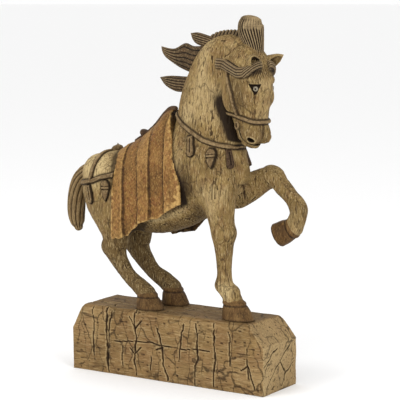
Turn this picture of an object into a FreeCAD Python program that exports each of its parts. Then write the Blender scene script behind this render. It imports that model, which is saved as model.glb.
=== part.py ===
"""Carved wooden prancing horse on a chamfered plinth, built from glued and dowelled blocks.

Millimetres. +X is the way the horse faces, +Y its left side, +Z up.
The origin is the centre of the plinth's underside.
"""

import FreeCAD, Part
import Sketcher
import os

from FreeCAD import Placement, Rotation, Vector

OUT = "parts"

doc = FreeCAD.newDocument("CarvedHorse")
sheet = doc.addObject("Spreadsheet::Sheet", "Dimensions")
next_row = 1


# ---------------------------------------------------------------- spreadsheet

def keep(alias, value, note=""):
    """Stores one driving dimension in the sheet and returns its expression."""
    global next_row
    sheet.set(f"A{next_row}", str(value))
    sheet.setAlias(f"A{next_row}", alias)
    sheet.set(f"B{next_row}", note)
    next_row += 1
    return f"Dimensions.{alias}"


DRIVING = [
    ("plinth_length", 266.0, "beam end to beam end"),
    ("plinth_width", 76.0, "across the beam"),
    ("plinth_height", 80.0, "underside to top face"),
    ("rear_chamfer_run", 15.0, "along the beam, at the horse's tail"),
    ("rear_chamfer_drop", 30.0, "down the rear end"),
    ("front_chamfer_run", 21.0, "along the beam, under the raised hoof"),
    ("front_chamfer_drop", 25.0, "down the front end"),
    ("top_edge_chamfer", 4.0, "softened long edges"),
    ("strap_relief", 2.4, "how far harness straps stand proud of the body"),
    ("strap_width", 6.0, "width of the harness straps"),
    ("pendant_relief", 3.6, "how far the hanging ornaments stand proud"),
    ("forelock_relief", 4.5, "how far the side locks stand proud of the head"),
    ("cloth_thickness", 4.5, "saddle cloth"),
    ("ridge_relief", 1.5, "saddle ridge above the cloth"),
    ("ridge_width", 8.0, "saddle ridge, across the back"),
    ("mane_thickness", 12.0, "mane tuft blanks"),
    ("crest_thickness", 9.0, "strip of mane along the crest"),
    ("dowel_diameter", 8.0, "leg, neck and tail dowels"),
    ("hoof_pin_diameter", 6.0, "pins from the hooves into the plinth"),
    ("hoof_pin_length", 34.0, "half in the hoof, the rest in the plinth"),
    ("small_peg_diameter", 4.0, "pegs of the ears, knob and mane"),
    ("bit_ring_radius", 3.6, "centreline of the bit ring"),
    ("bit_ring_wire", 1.1, "radius of the bit ring's section"),
    ("eye_radius", 3.4, "inlaid eye bead"),
    ("knob_collar_radius", 8.0, "saucer under the rump knob"),
    ("knob_collar_height", 7.0, "saucer under the rump knob, most of it sunk in"),
    ("knob_radius", 6.4, "rump knob, across"),
    ("knob_height", 7.0, "rump knob, half its height"),
]
SIZE = {name: value for name, value, note in DRIVING}
for name, value, note in DRIVING:
    keep(name, value, note)


# ------------------------------------------------- section tables of the forms
# Each row is one cross-section: x, y, z of its centre, then its depth in the
# fore-and-aft plane and its width across, all in millimetres.

FORMS = {
    "trunk": [
        (-131, 0, 226, 24, 22),
        (-122, 0, 222, 54, 50),
        (-102, 0, 218, 84, 68),
        (-72, 0, 219, 94, 72),
        (-36, 0, 221, 108, 76),
        (0, 0, 236, 114, 76),
        (34, 0, 245, 94, 74),
        (60, 0, 245, 76, 66),
        (76, 0, 244, 50, 46),
        (83, 0, 244, 22, 20),
    ],
    "neck": [
        (38, 0, 262, 88, 62),
        (36, 0, 292, 84, 54),
        (36, 0, 322, 72, 46),
        (42, 0, 350, 62, 40),
        (52, 0, 370, 56, 36),
        (66, 0, 381, 44, 32),
        (80, 0, 384, 30, 26),
    ],
    "head": [
        (84, 0, 396, 28, 24),
        (88, 0, 386, 50, 38),
        (91, 0, 366, 60, 46),
        (93, 0, 346, 66, 50),
        (95, 0, 328, 57, 45),
        (98, 0, 311, 45, 38),
        (101, 0, 296, 38, 34),
        (103, 0, 284, 34, 31),
        (103, 0, 276, 20, 20),
    ],
    "right_foreleg": [
        (52, -16, 250, 50, 20),
        (58, -18, 228, 52, 34),
        (63, -19, 207, 38, 32),
        (66, -19, 190, 30, 27),
        (68, -19, 176, 28, 26),
        (69, -19, 160, 22, 21),
        (69, -18, 136, 17.5, 17),
        (70, -18, 119, 20, 19),
        (76, -17, 108, 20, 20),
        (80, -17, 100, 23, 23),
    ],
    "left_forearm": [
        (48, 14, 226, 44, 20),
        (62, 19, 222, 42, 28),
        (80, 22, 228, 33, 27),
        (97, 22, 237, 27, 24),
        (106, 22, 240, 25, 23),
    ],
    "left_fore_cannon": [
        (106, 22, 240, 25, 23),
        (119, 22, 232, 21, 20),
        (132, 22, 220, 18, 17),
        (141, 22, 210, 21, 20),
        (143, 22, 199, 20, 20),
        (137, 22, 185, 22, 22),
    ],
    "right_hind_leg": [
        (-94, -16, 222, 50, 26),
        (-88, -19, 200, 58, 36),
        (-82, -21, 178, 46, 34),
        (-80, -21, 160, 33, 27),
        (-81, -21, 148, 29, 24),
        (-76, -20, 134, 21, 20),
        (-62, -20, 117, 17, 17),
        (-47, -20, 106, 19, 19),
        (-37, -20, 98, 22, 22),
    ],
    "left_hind_leg": [
        (-92, 16, 222, 54, 26),
        (-88, 19, 200, 60, 36),
        (-78, 21, 178, 46, 34),
        (-76, 21, 160, 33, 27),
        (-77, 21, 146, 29, 24),
        (-69, 21, 132, 23, 20),
        (-55, 21, 117, 19, 17),
        (-38, 21, 107, 21, 19),
        (-28, 21, 99, 23, 22),
    ],
    "tail": [
        (-120, 0, 236, 16, 16),
        (-134, 0, 236, 18, 18),
        (-146, 0, 226, 20, 20),
        (-152.5, 0, 208, 22, 22),
        (-154, 0, 186, 22, 22),
        (-153, 0, 169, 18, 18),
        (-152, 0, 161, 8, 8),
    ],
    "topknot": [
        (98, -6, 370, 20, 18),
        (95, -5, 386, 28, 21),
        (94, -4, 402, 31, 24),
        (94, -4, 413, 31, 24),
        (94, -4, 420, 24, 19),
        (94, -4, 424, 8, 7),
    ],
    "right_ear": [
        (103, -13, 371, 9, 9),
        (109, -20, 374.5, 12, 7.5),
        (113, -25, 378, 8, 5),
        (115, -28, 380, 2, 1.6),
    ],
    "left_ear": [
        (103, 13, 371, 9, 9),
        (109, 20, 374.5, 12, 7.5),
        (113, 25, 378, 8, 5),
        (115, 28, 380, 2, 1.6),
    ],
    "cloth": [
        (-92, 0, 185, 156, 88),
        (-84, 0, 185, 162, 88),
        (-60, 0, 185, 190, 92),
        (-45, 0, 185, 208, 94),
        (-30, 0, 185, 234, 96),
        (-16, 0, 185, 262, 96),
        (0, 0, 185, 262, 96),
        (14, 0, 185, 232, 94),
        (34, 0, 185, 208, 92),
    ],
}
HOOVES = {
    # name: centre of the coronet, its diameter, centre of the sole, sole length and width
    "right_fore_hoof": ((80, -17, 100), 24.0, (86, -17, 80), 40.0, 31.0),
    "right_hind_hoof": ((-37, -20, 98), 23.0, (-33, -20, 80), 36.0, 29.0),
    "left_hind_hoof": ((-28, 21, 99), 23.0, (-24, 21, 80), 36.0, 29.0),
    "left_fore_hoof": ((137, 22, 185), 23.0, (116, 22, 174), 29.0, 26.0),
}
HEAD_YAW = -17.0  # the head turns to the horse's right
HEAD_PIVOT = Vector(72, 0, 0)

for form, rows in FORMS.items():
    for i, row in enumerate(rows):
        for what, value in zip(("x", "y", "z", "depth", "width"), row):
            keep(f"{form}_{i}_{what}", value)
for hoof, (coronet, across, sole, length, width) in HOOVES.items():
    keep(f"{hoof}_coronet", across)
    keep(f"{hoof}_length", length)
    keep(f"{hoof}_width", width)
doc.recompute()


# -------------------------------------------------------------------- helpers

def section_turn(direction):
    """Rotation whose Z runs along direction and whose X lies in the fore-and-aft plane."""
    across = Vector(0, 1, 0)
    depth = across.cross(direction)
    return Rotation(depth, across, direction, "ZYX")


def ellipse(name, centre, turn, depth, width, depth_size, width_size, bind=None):
    """One elliptical section, its start point always on the depth axis."""
    section = doc.addObject("Part::Ellipse", name)
    deep = depth_size >= width_size
    if not deep:
        turn = turn.multiply(Rotation(Vector(0, 0, 1), 90))
    section.Placement = Placement(Vector(*centre), turn)
    section.MajorRadius = max(depth_size, width_size) / 2
    section.MinorRadius = min(depth_size, width_size) / 2
    section.setExpression("MajorRadius", depth if deep else width)
    section.setExpression("MinorRadius", width if deep else depth)
    if not deep:
        section.Angle1 = 270.0
        section.Angle2 = 630.0
    if bind:
        for axis in "xyz":
            section.setExpression(f"Placement.Base.{axis}", f"Dimensions.{bind}_{axis}")
    return section


def body_form(form, name, grow=""):
    """A smooth solid through a form's sections; grow adds to every radius."""
    rows = FORMS[form]
    centres = [Vector(*row[:3]) for row in rows]
    upright = form == "cloth"
    sections = []
    for i, (x, y, z, depth, width) in enumerate(rows):
        before = centres[max(i - 1, 0)]
        after = centres[min(i + 1, len(rows) - 1)]
        direction = Vector(1, 0, 0) if upright else (after - before).normalize()
        bind = f"{form}_{i}"
        sections.append(
            ellipse(
                f"{name}_section_{i}",
                centres[i],
                section_turn(direction),
                f"Dimensions.{bind}_depth / 2{grow}",
                f"Dimensions.{bind}_width / 2{grow}",
                depth,
                width,
                bind,
            )
        )
    loft = doc.addObject("Part::Loft", name)
    loft.Sections = sections
    loft.Solid = True
    loft.Ruled = False
    loft.MaxDegree = 3
    return loft


def cut(name, base, *tools):
    """base less every tool."""
    for i, tool in enumerate(tools):
        made = doc.addObject("Part::Cut", name if i == len(tools) - 1 else f"{name}_{i}")
        made.Base = base
        made.Tool = tool
        base = made
    return base


def common(name, base, tool):
    made = doc.addObject("Part::Common", name)
    made.Base = base
    made.Tool = tool
    return made


def fuse(name, *pieces):
    made = doc.addObject("Part::MultiFuse", name)
    made.Shapes = list(pieces)
    return made


def group(name, *pieces):
    made = doc.addObject("Part::Compound", name)
    made.Links = list(pieces)
    return made


def rod(name, start, end, diameter_alias):
    """A dowel from start to end."""
    start, end = Vector(*start), Vector(*end)
    made = doc.addObject("Part::Cylinder", name)
    made.setExpression("Radius", f"Dimensions.{diameter_alias} / 2")
    made.Height = (end - start).Length
    made.Placement = Placement(start, Rotation(Vector(0, 0, 1), end - start))
    return made


def body_plane(body, role):
    return next(f for f in body.Origin.OriginFeatures if f.Role == role)


def outline_body(name, geometry, width_expression, y_shift=0.0, width=10.0):
    """A PartDesign body: a closed outline in the XZ plane, padded evenly to both sides."""
    body = doc.addObject("PartDesign::Body", name)
    sketch = body.newObject("Sketcher::SketchObject", f"{name}_outline")
    sketch.AttachmentSupport = [(body_plane(body, "XZ_Plane"), "")]
    sketch.MapMode = "FlatFace"
    for edge in geometry:
        sketch.addGeometry(edge, False)
    pad = body.newObject("PartDesign::Pad", f"{name}_pad")
    pad.Profile = sketch
    pad.SideType = "Symmetric"
    pad.Length = width
    if width_expression:
        pad.setExpression("Length", width_expression)
    body.Tip = pad
    body.Placement = Placement(Vector(0, y_shift, 0), Rotation())
    return body


def straight(points):
    """Line segments round a closed outline of (x, z) points."""
    at = [Vector(x, z, 0) for x, z in points]
    return [Part.LineSegment(a, b) for a, b in zip(at, at[1:] + at[:1])]


def flame(*runs):
    """A closed outline of smooth curves; each run is a list of (x, z) points, sharing its ends."""
    edges = []
    for run in runs:
        at = [Vector(x, z, 0) for x, z in run]
        if len(at) == 2:
            edges.append(Part.LineSegment(*at))
        else:
            curve = Part.BSplineCurve()
            curve.interpolate(at)
            edges.append(curve)
    return edges


def band(points, half_width):
    """The closed outline of a strap that follows (x, z) points, half_width to each side."""
    at = [Vector(x, z, 0) for x, z in points]
    sides = ([], [])
    for i, p in enumerate(at):
        along = (at[min(i + 1, len(at) - 1)] - at[max(i - 1, 0)]).normalize()
        across = Vector(-along.y, along.x, 0) * half_width
        sides[0].append((p.x + across.x, p.y + across.y))
        sides[1].append((p.x - across.x, p.y - across.y))
    left, right = sides[0], sides[1][::-1]
    return flame(left, [left[-1], right[0]], right, [right[-1], left[0]])


# --------------------------------------------------------------------- plinth

def plinth():
    """A sawn beam with both upper ends chamfered, bored for the three hoof pins."""
    half = SIZE["plinth_length"] / 2
    height = SIZE["plinth_height"]
    rear_run, rear_drop = SIZE["rear_chamfer_run"], SIZE["rear_chamfer_drop"]
    front_run, front_drop = SIZE["front_chamfer_run"], SIZE["front_chamfer_drop"]
    beam = doc.addObject("PartDesign::Body", "beam")
    sketch = beam.newObject("Sketcher::SketchObject", "beam_side")
    sketch.AttachmentSupport = [(body_plane(beam, "XZ_Plane"), "")]
    sketch.MapMode = "FlatFace"
    corners = [
        (-half, 0),
        (half, 0),
        (half, height - front_drop),
        (half - front_run, height),
        (-half + rear_run, height),
        (-half, height - rear_drop),
    ]
    for edge in straight(corners):
        sketch.addGeometry(edge, False)
    count = len(corners)
    for i in range(count):
        sketch.addConstraint(Sketcher.Constraint("Coincident", i, 2, (i + 1) % count, 1))
    sizes = [
        ("half_span", "DistanceX", 0, 1, -half, "-Dimensions.plinth_length / 2"),
        ("other_half", "DistanceX", 0, 2, half, "Dimensions.plinth_length / 2"),
        ("rear_ground", "DistanceY", 0, 1, 0.0, None),
        ("front_ground", "DistanceY", 0, 2, 0.0, None),
        ("front_end", "DistanceX", 1, 2, half, "Dimensions.plinth_length / 2"),
        (
            "front_shoulder", "DistanceY", 1, 2, height - front_drop,
            "Dimensions.plinth_height - Dimensions.front_chamfer_drop",
        ),
        (
            "front_top", "DistanceX", 2, 2, half - front_run,
            "Dimensions.plinth_length / 2 - Dimensions.front_chamfer_run",
        ),
        ("top", "DistanceY", 2, 2, height, "Dimensions.plinth_height"),
        (
            "rear_top", "DistanceX", 3, 2, -half + rear_run,
            "Dimensions.rear_chamfer_run - Dimensions.plinth_length / 2",
        ),
        ("level", "DistanceY", 3, 2, height, "Dimensions.plinth_height"),
        ("rear_end", "DistanceX", 4, 2, -half, "-Dimensions.plinth_length / 2"),
        (
            "rear_shoulder", "DistanceY", 4, 2, height - rear_drop,
            "Dimensions.plinth_height - Dimensions.rear_chamfer_drop",
        ),
    ]
    for name, kind, edge, end, value, expression in sizes:
        index = sketch.addConstraint(Sketcher.Constraint(kind, -1, 1, edge, end, value))
        sketch.renameConstraint(index, name)
        if expression:
            sketch.setExpression(f"Constraints.{name}", expression)
    pad = beam.newObject("PartDesign::Pad", "beam_pad")
    pad.Profile = sketch
    pad.SideType = "Symmetric"
    pad.Length = SIZE["plinth_width"]
    pad.setExpression("Length", "Dimensions.plinth_width")
    beam.Tip = pad
    doc.recompute()
    top_edges = [
        f"Edge{i + 1}"
        for i, edge in enumerate(pad.Shape.Edges)
        if all(abs(v.Z - height) < 1e-6 for v in edge.Vertexes)
        and abs(edge.Vertexes[0].Y - edge.Vertexes[1].Y) < 1e-6
    ]
    softened = beam.newObject("PartDesign::Chamfer", "beam_long_edges")
    softened.Base = (pad, top_edges)
    softened.Size = SIZE["top_edge_chamfer"]
    softened.setExpression("Size", "Dimensions.top_edge_chamfer")
    beam.Tip = softened
    return beam


# ---------------------------------------------------------------------- hooves

def hoof(name):
    """A truncated cone from the round coronet to the longer, oval sole."""
    coronet, across, sole, length, width = HOOVES[name]
    raised = name == "left_fore_hoof"
    axis = (Vector(*sole) - Vector(*coronet)).normalize() if raised else Vector(0, 0, -1)
    turn = section_turn(axis)
    size = f"Dimensions.{name}"
    top = ellipse(
        f"{name}_coronet", coronet, turn, f"{size}_coronet / 2", f"{size}_coronet / 2", across, across
    )
    base = ellipse(
        f"{name}_sole", sole, turn, f"{size}_length / 2", f"{size}_width / 2", length, width
    )
    made = doc.addObject("Part::Loft", f"{name}_form")
    made.Sections = [top, base]
    made.Solid = True
    made.Ruled = True
    return made


# ------------------------------------------------------------ body and its cuts

trunk_form = body_form("trunk", "trunk_form")
neck_form = body_form("neck", "neck_form")
leg_forms = {
    name: body_form(name, f"{name}_form")
    for name in ("right_foreleg", "left_forearm", "left_fore_cannon", "right_hind_leg", "left_hind_leg")
}
tail_form = body_form("tail", "tail_form")
hoof_forms = {name: hoof(name) for name in HOOVES}

neck_dowels = [
    rod("neck_dowel_rear", (22, 0, 268), (24, 0, 312), "dowel_diameter"),
    rod("neck_dowel_front", (54, 0, 262), (52, 0, 306), "dowel_diameter"),
]
leg_dowels = [
    rod("right_foreleg_dowel", (60, -24, 222), (46, 4, 234), "dowel_diameter"),
    rod("left_forearm_dowel", (66, 25, 224), (40, 8, 246), "dowel_diameter"),
    rod("right_hind_dowel", (-94, -26, 204), (-94, -2, 222), "dowel_diameter"),
    rod("left_hind_dowel", (-90, 26, 204), (-90, 3, 222), "dowel_diameter"),
]
knee_dowel = rod("knee_dowel_rod", (97, 22, 236), (117, 22, 233), "small_peg_diameter")
tail_peg = rod("tail_peg_rod", (-140, 0, 236), (-106, 0, 228), "dowel_diameter")
head_dowel = rod("head_dowel_rod", (54, 0, 362), (88, -3, 366), "dowel_diameter")
pin_span = SIZE["hoof_pin_length"]
hoof_pins = [
    rod(f"{name}_pin", (x, y, 92), (x, y, 92 - pin_span), "hoof_pin_diameter")
    for name, x, y in (
        ("right_fore", 82, -17),
        ("right_hind", -35, -20),
        ("left_hind", -26, 21),
    )
]
raised_hoof_pin = rod("raised_hoof_pin_rod", (142, 22, 194), (126, 22, 179), "small_peg_diameter")


HEAD_PLACE = Placement(HEAD_PIVOT, Rotation(Vector(0, 0, 1), HEAD_YAW)).multiply(
    Placement(-HEAD_PIVOT, Rotation())
)


def on_head(feature):
    """Turns a piece with the head, about the vertical line at the poll."""
    for piece in getattr(feature, "Sections", None) or [feature]:
        for axis in "xyz":
            if any(f"Base.{axis}" in path for path, text in piece.ExpressionEngine):
                piece.setExpression(f"Placement.Base.{axis}", None)
        piece.Placement = HEAD_PLACE.multiply(piece.Placement)
    return feature


head_form = on_head(body_form("head", "head_form"))
doc.recompute()

parts = {}
pins_in_plinth = fuse("plinth_pin_tool", *hoof_pins)
parts["plinth"] = cut("plinth", plinth(), pins_in_plinth)

dowel_tool = fuse("trunk_dowel_tool", *neck_dowels, *leg_dowels, tail_peg)
parts["trunk"] = cut("trunk", trunk_form, dowel_tool)
neck_block = cut("neck_block", neck_form, trunk_form)
parts["neck"] = cut("neck", neck_block, fuse("neck_dowel_tool", *neck_dowels, head_dowel))
head_block = cut("head_block", head_form, neck_form)
parts["head"] = cut("head", head_block, head_dowel)

right_fore_block = cut("right_foreleg_block", leg_forms["right_foreleg"], trunk_form, neck_form)
parts["right_foreleg"] = cut(
    "right_foreleg", right_fore_block, hoof_forms["right_fore_hoof"], leg_dowels[0]
)
forearm_block = cut("left_forearm_block", leg_forms["left_forearm"], trunk_form, neck_form)
parts["left_forearm"] = cut("left_forearm", forearm_block, fuse("forearm_tool", leg_dowels[1], knee_dowel))
parts["left_fore_cannon"] = cut(
    "left_fore_cannon",
    leg_forms["left_fore_cannon"],
    leg_forms["left_forearm"],
    hoof_forms["left_fore_hoof"],
    fuse("cannon_tool", knee_dowel, raised_hoof_pin),
)
right_hind_block = cut("right_hind_block", leg_forms["right_hind_leg"], trunk_form)
parts["right_hind_leg"] = cut(
    "right_hind_leg", right_hind_block, hoof_forms["right_hind_hoof"], leg_dowels[2]
)
left_hind_block = cut("left_hind_block", leg_forms["left_hind_leg"], trunk_form)
parts["left_hind_leg"] = cut(
    "left_hind_leg", left_hind_block, hoof_forms["left_hind_hoof"], leg_dowels[3]
)
for name, form in hoof_forms.items():
    tool = raised_hoof_pin if name == "left_fore_hoof" else pins_in_plinth
    parts[name] = cut(name, form, tool)
tail_block = cut("tail_block", tail_form, trunk_form)
parts["tail"] = cut("tail", tail_block, tail_peg)

parts["neck_dowels"] = group("neck_dowels", *neck_dowels)
parts["leg_dowels"] = group("leg_dowels", *leg_dowels)
parts["hoof_pins"] = group("hoof_pins", *hoof_pins)
parts["knee_dowel"] = knee_dowel
parts["tail_peg"] = tail_peg
parts["head_dowel"] = head_dowel
parts["raised_hoof_pin"] = raised_hoof_pin


# ------------------------------------------------------------- raised harness

def profile(name, edges, y_from, y_to):
    """A closed (x, z) outline run across the horse from y_from to y_to."""
    width = y_to - y_from
    return outline_body(name, edges, None, (y_from + y_to) / 2, width)


def relief(name, skin, outline, *solids):
    """What a skin shows inside an outline, above the solids underneath."""
    return cut(name, common(f"{name}_skin", skin, outline), *solids)


strap_half = SIZE["strap_width"] / 2
body_skin = fuse(
    "body_skin",
    body_form("trunk", "trunk_skin", " + Dimensions.strap_relief"),
    body_form("neck", "neck_skin", " + Dimensions.strap_relief"),
)
pendant_skin = fuse(
    "pendant_skin",
    body_form("trunk", "trunk_pendant_skin", " + Dimensions.pendant_relief"),
    body_form("neck", "neck_pendant_skin", " + Dimensions.pendant_relief"),
    body_form("right_hind_leg", "right_thigh_pendant_skin", " + Dimensions.pendant_relief"),
    body_form("left_hind_leg", "left_thigh_pendant_skin", " + Dimensions.pendant_relief"),
)
thighs = [leg_forms["right_hind_leg"], leg_forms["left_hind_leg"]]
limbs = [leg_forms["right_foreleg"], leg_forms["left_forearm"], *thighs]

COLLAR = [(-6, 312), (14, 300), (32, 291), (47, 283.5), (62, 279), (80, 275.5), (100, 275)]
collar_outline = profile("collar_outline", band(COLLAR, strap_half), -60, 60)
parts["collar_strap"] = relief("collar_strap", body_skin, collar_outline, trunk_form, neck_form, head_form)

CRUPPER = [(-62, 240), (-76, 236.6), (-89, 233.6), (-100, 229.2), (-124, 224.3), (-140, 222)]
HIP_STRAP = [(-94, 272), (-99, 252), (-104, 230)]
crupper_outline = profile("crupper_outline", band(CRUPPER, strap_half * 0.9), -60, 60)
hip_outline = profile("hip_outline", band(HIP_STRAP, strap_half * 0.8), -60, 60)

HANGING = {
    # name: top and bottom of the ornament on the near side, its width, and how pointed it is
    "shoulder_tags": ((30, 288), (35.5, 264.5), 10.0, False),
    "shoulder_drops": ((58.5, 275), (61.5, 252.5), 11.0, True),
    "crupper_drops": ((-83, 231), (-82, 206), 11.0, True),
    "crupper_tassels": ((-107.5, 224), (-106, 201), 8.0, False),
}


def hanging_outline(top, bottom, width, pointed):
    """A drop with shoulders and a point, or a square-topped tag with a rounded end."""
    top, bottom = Vector(top[0], top[1], 0), Vector(bottom[0], bottom[1], 0)
    down = bottom - top
    side = Vector(-down.y, down.x, 0).normalize() * (width / 2)
    if pointed:
        spots = [(0, 0.45), (0.18, 0.95), (0.45, 1.0), (0.75, 0.7), (1.0, 0.0)]
    else:
        spots = [(0, 0.8), (0.4, 0.85), (0.75, 1.0), (0.93, 0.75), (1.0, 0.0)]
    left = [top + down * along + side * out for along, out in spots]
    right = [top + down * along - side * out for along, out in reversed(spots)]
    left_run = [(p.x, p.y) for p in left]
    right_run = [(p.x, p.y) for p in right]
    return flame(left_run, right_run, [right_run[-1], left_run[0]])


for name, (top, bottom, width, pointed) in HANGING.items():
    edges = hanging_outline(top, bottom, width, pointed)
    outline = profile(f"{name}_outline", edges, -60, 60)
    under = [trunk_form, neck_form, *limbs, tail_form]
    if name.startswith("crupper"):
        under.append(crupper_outline)
    else:
        under.append(collar_outline)
    parts[name] = relief(name, pendant_skin, outline, *under)

# The breast tags sit on the turn of the chest, so each outline faces the way the chest does.
BREAST_TAG = ((0, 273.5), (1, 252), 8.0, False)
BREAST_SPOT = Vector(77.5, 15.5, 0)
BREAST_TURN = 57.0
tags = []
for side, sign in (("right", -1), ("left", 1)):
    place = Placement(
        Vector(BREAST_SPOT.x, sign * BREAST_SPOT.y, 0), Rotation(Vector(0, 0, 1), -sign * BREAST_TURN)
    )
    outline = profile(f"breast_tag_{side}_outline", hanging_outline(*BREAST_TAG), -9, 9)
    outline.Placement = place
    tags.append(
        relief(
            f"breast_tag_{side}", pendant_skin, outline, trunk_form, neck_form, collar_outline,
            head_form, parts["shoulder_drops"],
        )
    )
parts["breast_tags"] = group("breast_tags", *tags)

crupper_all = fuse("crupper_all", crupper_outline, hip_outline)
strap_runs = relief("crupper_strap_runs", body_skin, crupper_all, trunk_form, tail_form, *thighs)

# -------------------------------------------------------------- saddle and cloth

cloth_outer = body_form("cloth", "cloth_outer")
cloth_inner = body_form("cloth", "cloth_inner", " - Dimensions.cloth_thickness")
ridge_skin = body_form("cloth", "ridge_skin", " + Dimensions.ridge_relief")
NEAR_REAR = [(-84, 330), (-84, 266), (-81, 262), (-74, 240), (-71, 200), (-72, 161)]
NEAR_HEM = [(-72, 161), (-60, 163), (-49, 168), (-37, 178), (-25, 186), (-5, 191), (25, 210)]
FAR_REAR = [(-84, 330), (-84, 266), (-81, 262), (-74, 240), (-69, 205), (-63, 174)]
FAR_HEM = [(-63, 174), (-50, 167), (-41, 160), (-31, 163), (-10, 166), (7, 184), (25, 208)]
FRONT = [(25, 210), (22, 230), (14, 252), (2, 287), (-10, 316), (-10, 330)]
ridge_half = SIZE["ridge_width"] / 2

seat_edges = straight([(-66, 262), (-11, 262), (-11, 330), (-66, 330)])
seat_block = common("seat_block", cloth_inner, profile("seat_outline", seat_edges, -30, 30))
ridge_edges = straight([(-66, 262), (-10, 262), (-10, 330), (-66, 330)])
ridge_outline = profile("ridge_outline", ridge_edges, -ridge_half, ridge_half)
ridge = common("ridge", ridge_skin, ridge_outline)
saddle_block = fuse("saddle_block", seat_block, ridge)
parts["saddle"] = cut("saddle", saddle_block, trunk_form, neck_form, parts["collar_strap"])
cloth_shell = cut("cloth_shell", cloth_outer, cloth_inner)
for side, rear, hem, y_from, y_to in (
    ("right", NEAR_REAR, NEAR_HEM, -60, 0),
    ("left", FAR_REAR, FAR_HEM, 0, 60),
):
    front = FRONT if side == "right" else [(25, 208)] + FRONT[1:]
    edges = flame(rear[:3], rear[2:], hem, front[:5], front[4:], [front[-1], rear[0]])
    flap = common(f"flap_{side}", cloth_shell, profile(f"flap_{side}_outline", edges, y_from, y_to))
    under = [ridge_outline, trunk_form, neck_form, *limbs, parts["collar_strap"]]
    parts[f"saddle_cloth_{side}"] = cut(f"saddle_cloth_{side}", flap, *under)
under_cloth = straight([(-83.9, 150), (26, 150), (26, 330), (-83.9, 330)])
cloth_tool = common("cloth_tool", cloth_outer, profile("cloth_tool_outline", under_cloth, -60, 60))
parts["crupper_straps"] = cut("crupper_straps", strap_runs, cloth_tool)

knob_seat = Vector(-93, 0, 259)
saucer = doc.addObject("Part::Cylinder", "knob_saucer")
saucer.setExpression("Radius", "Dimensions.knob_collar_radius")
saucer.setExpression("Height", "Dimensions.knob_collar_height")
saucer.Placement = Placement(knob_seat - Vector(0, 0, 2.5), Rotation(Vector(0, 1, 0), -8))
bud = doc.addObject("Part::Ellipsoid", "knob_bud")
bud.setExpression("Radius1", "Dimensions.knob_height")
bud.setExpression("Radius2", "Dimensions.knob_radius")
bud.setExpression("Radius3", "Dimensions.knob_radius")
bud.Placement = Placement(knob_seat + Vector(-0.4, 0, 5), Rotation(Vector(0, 1, 0), -8))
knob_peg = rod("knob_peg_rod", (-92, 0, 246), (-93, 0, 264), "small_peg_diameter")
knob = fuse("knob", saucer, bud)
knob_stack = cut("knob_stack", knob, trunk_form, parts["crupper_straps"])
parts["rump_ornament"] = cut("rump_ornament", knob_stack, knob_peg)
parts["knob_peg"] = knob_peg

# ------------------------------------------------------------ mane, poll and ears

TUFTS = {
    "mane_tuft_lower": (
        [(16, 352), (1, 353), (-18, 353), (-31, 351)],
        [(-31, 351), (-22, 341), (-9, 335), (3, 334), (16, 330)],
        [(16, 330), (16, 352)],
    ),
    "mane_tuft_middle": (
        [(32, 389), (17, 388), (5, 391), (-11, 384.5), (-29, 387)],
        [(-29, 387), (-26, 378), (-18, 371), (1, 361), (22, 352)],
        [(22, 352), (32, 389)],
    ),
    "mane_tuft_upper": (
        [(42, 397), (33, 401), (22, 403.5), (12, 402.5)],
        [(12, 402.5), (15, 395), (23, 389), (38, 384)],
        [(38, 384), (42, 397)],
    ),
}
mane_pegs = [
    rod("mane_peg_lower", (-8, 0, 343), (24, 0, 341), "small_peg_diameter"),
    rod("mane_peg_middle", (0, 0, 376), (36, 0, 362), "small_peg_diameter"),
    rod("mane_peg_upper", (24, 0, 396), (44, 0, 378), "small_peg_diameter"),
]
for (name, runs), peg in zip(TUFTS.items(), mane_pegs):
    blank = outline_body(f"{name}_blank", flame(*runs), "Dimensions.mane_thickness")
    overlapped = [parts["mane_tuft_middle"]] if name == "mane_tuft_upper" else []
    parts[name] = cut(name, blank, neck_form, peg, *overlapped)
crest_runs = (
    [(33, 397), (45, 405), (60, 408.5), (78, 409)],
    [(78, 409), (78, 388)],
    [(78, 388), (56, 385), (33, 372)],
    [(33, 372), (33, 397)],
)
crest_blank = outline_body("crest_blank", flame(*crest_runs), "Dimensions.crest_thickness")
topknot_form = body_form("topknot", "topknot_form")
parts["mane_crest"] = cut(
    "mane_crest", crest_blank, neck_form, head_form, topknot_form, parts["mane_tuft_upper"],
    parts["mane_tuft_middle"], mane_pegs[2],
)
topknot_peg = rod("topknot_peg_rod", (90, -5, 408), (91, -5, 376), "small_peg_diameter")
parts["topknot"] = cut("topknot", topknot_form, neck_form, head_form, topknot_peg)

FORELOCK = [(57, 371), (66, 370.5), (76, 370), (92, 368), (107, 364.5), (119, 362.5), (134, 361.5)]
forelock_outline = on_head(profile("forelock_outline", band(FORELOCK, 5.0), -45, 45))
forelock_skin = fuse(
    "forelock_skin",
    on_head(body_form("head", "forelock_head_skin", " + Dimensions.forelock_relief")),
    body_form("neck", "forelock_neck_skin", " + Dimensions.strap_relief"),
)
ears = {side: on_head(body_form(f"{side}_ear", f"{side}_ear_form")) for side in ("right", "left")}
parts["forelock"] = relief(
    "forelock", forelock_skin, forelock_outline, head_form, neck_form, ears["right"], ears["left"]
)
for side, form in ears.items():
    parts[f"{side}_ear"] = cut(f"{side}_ear", form, head_form)

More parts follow.
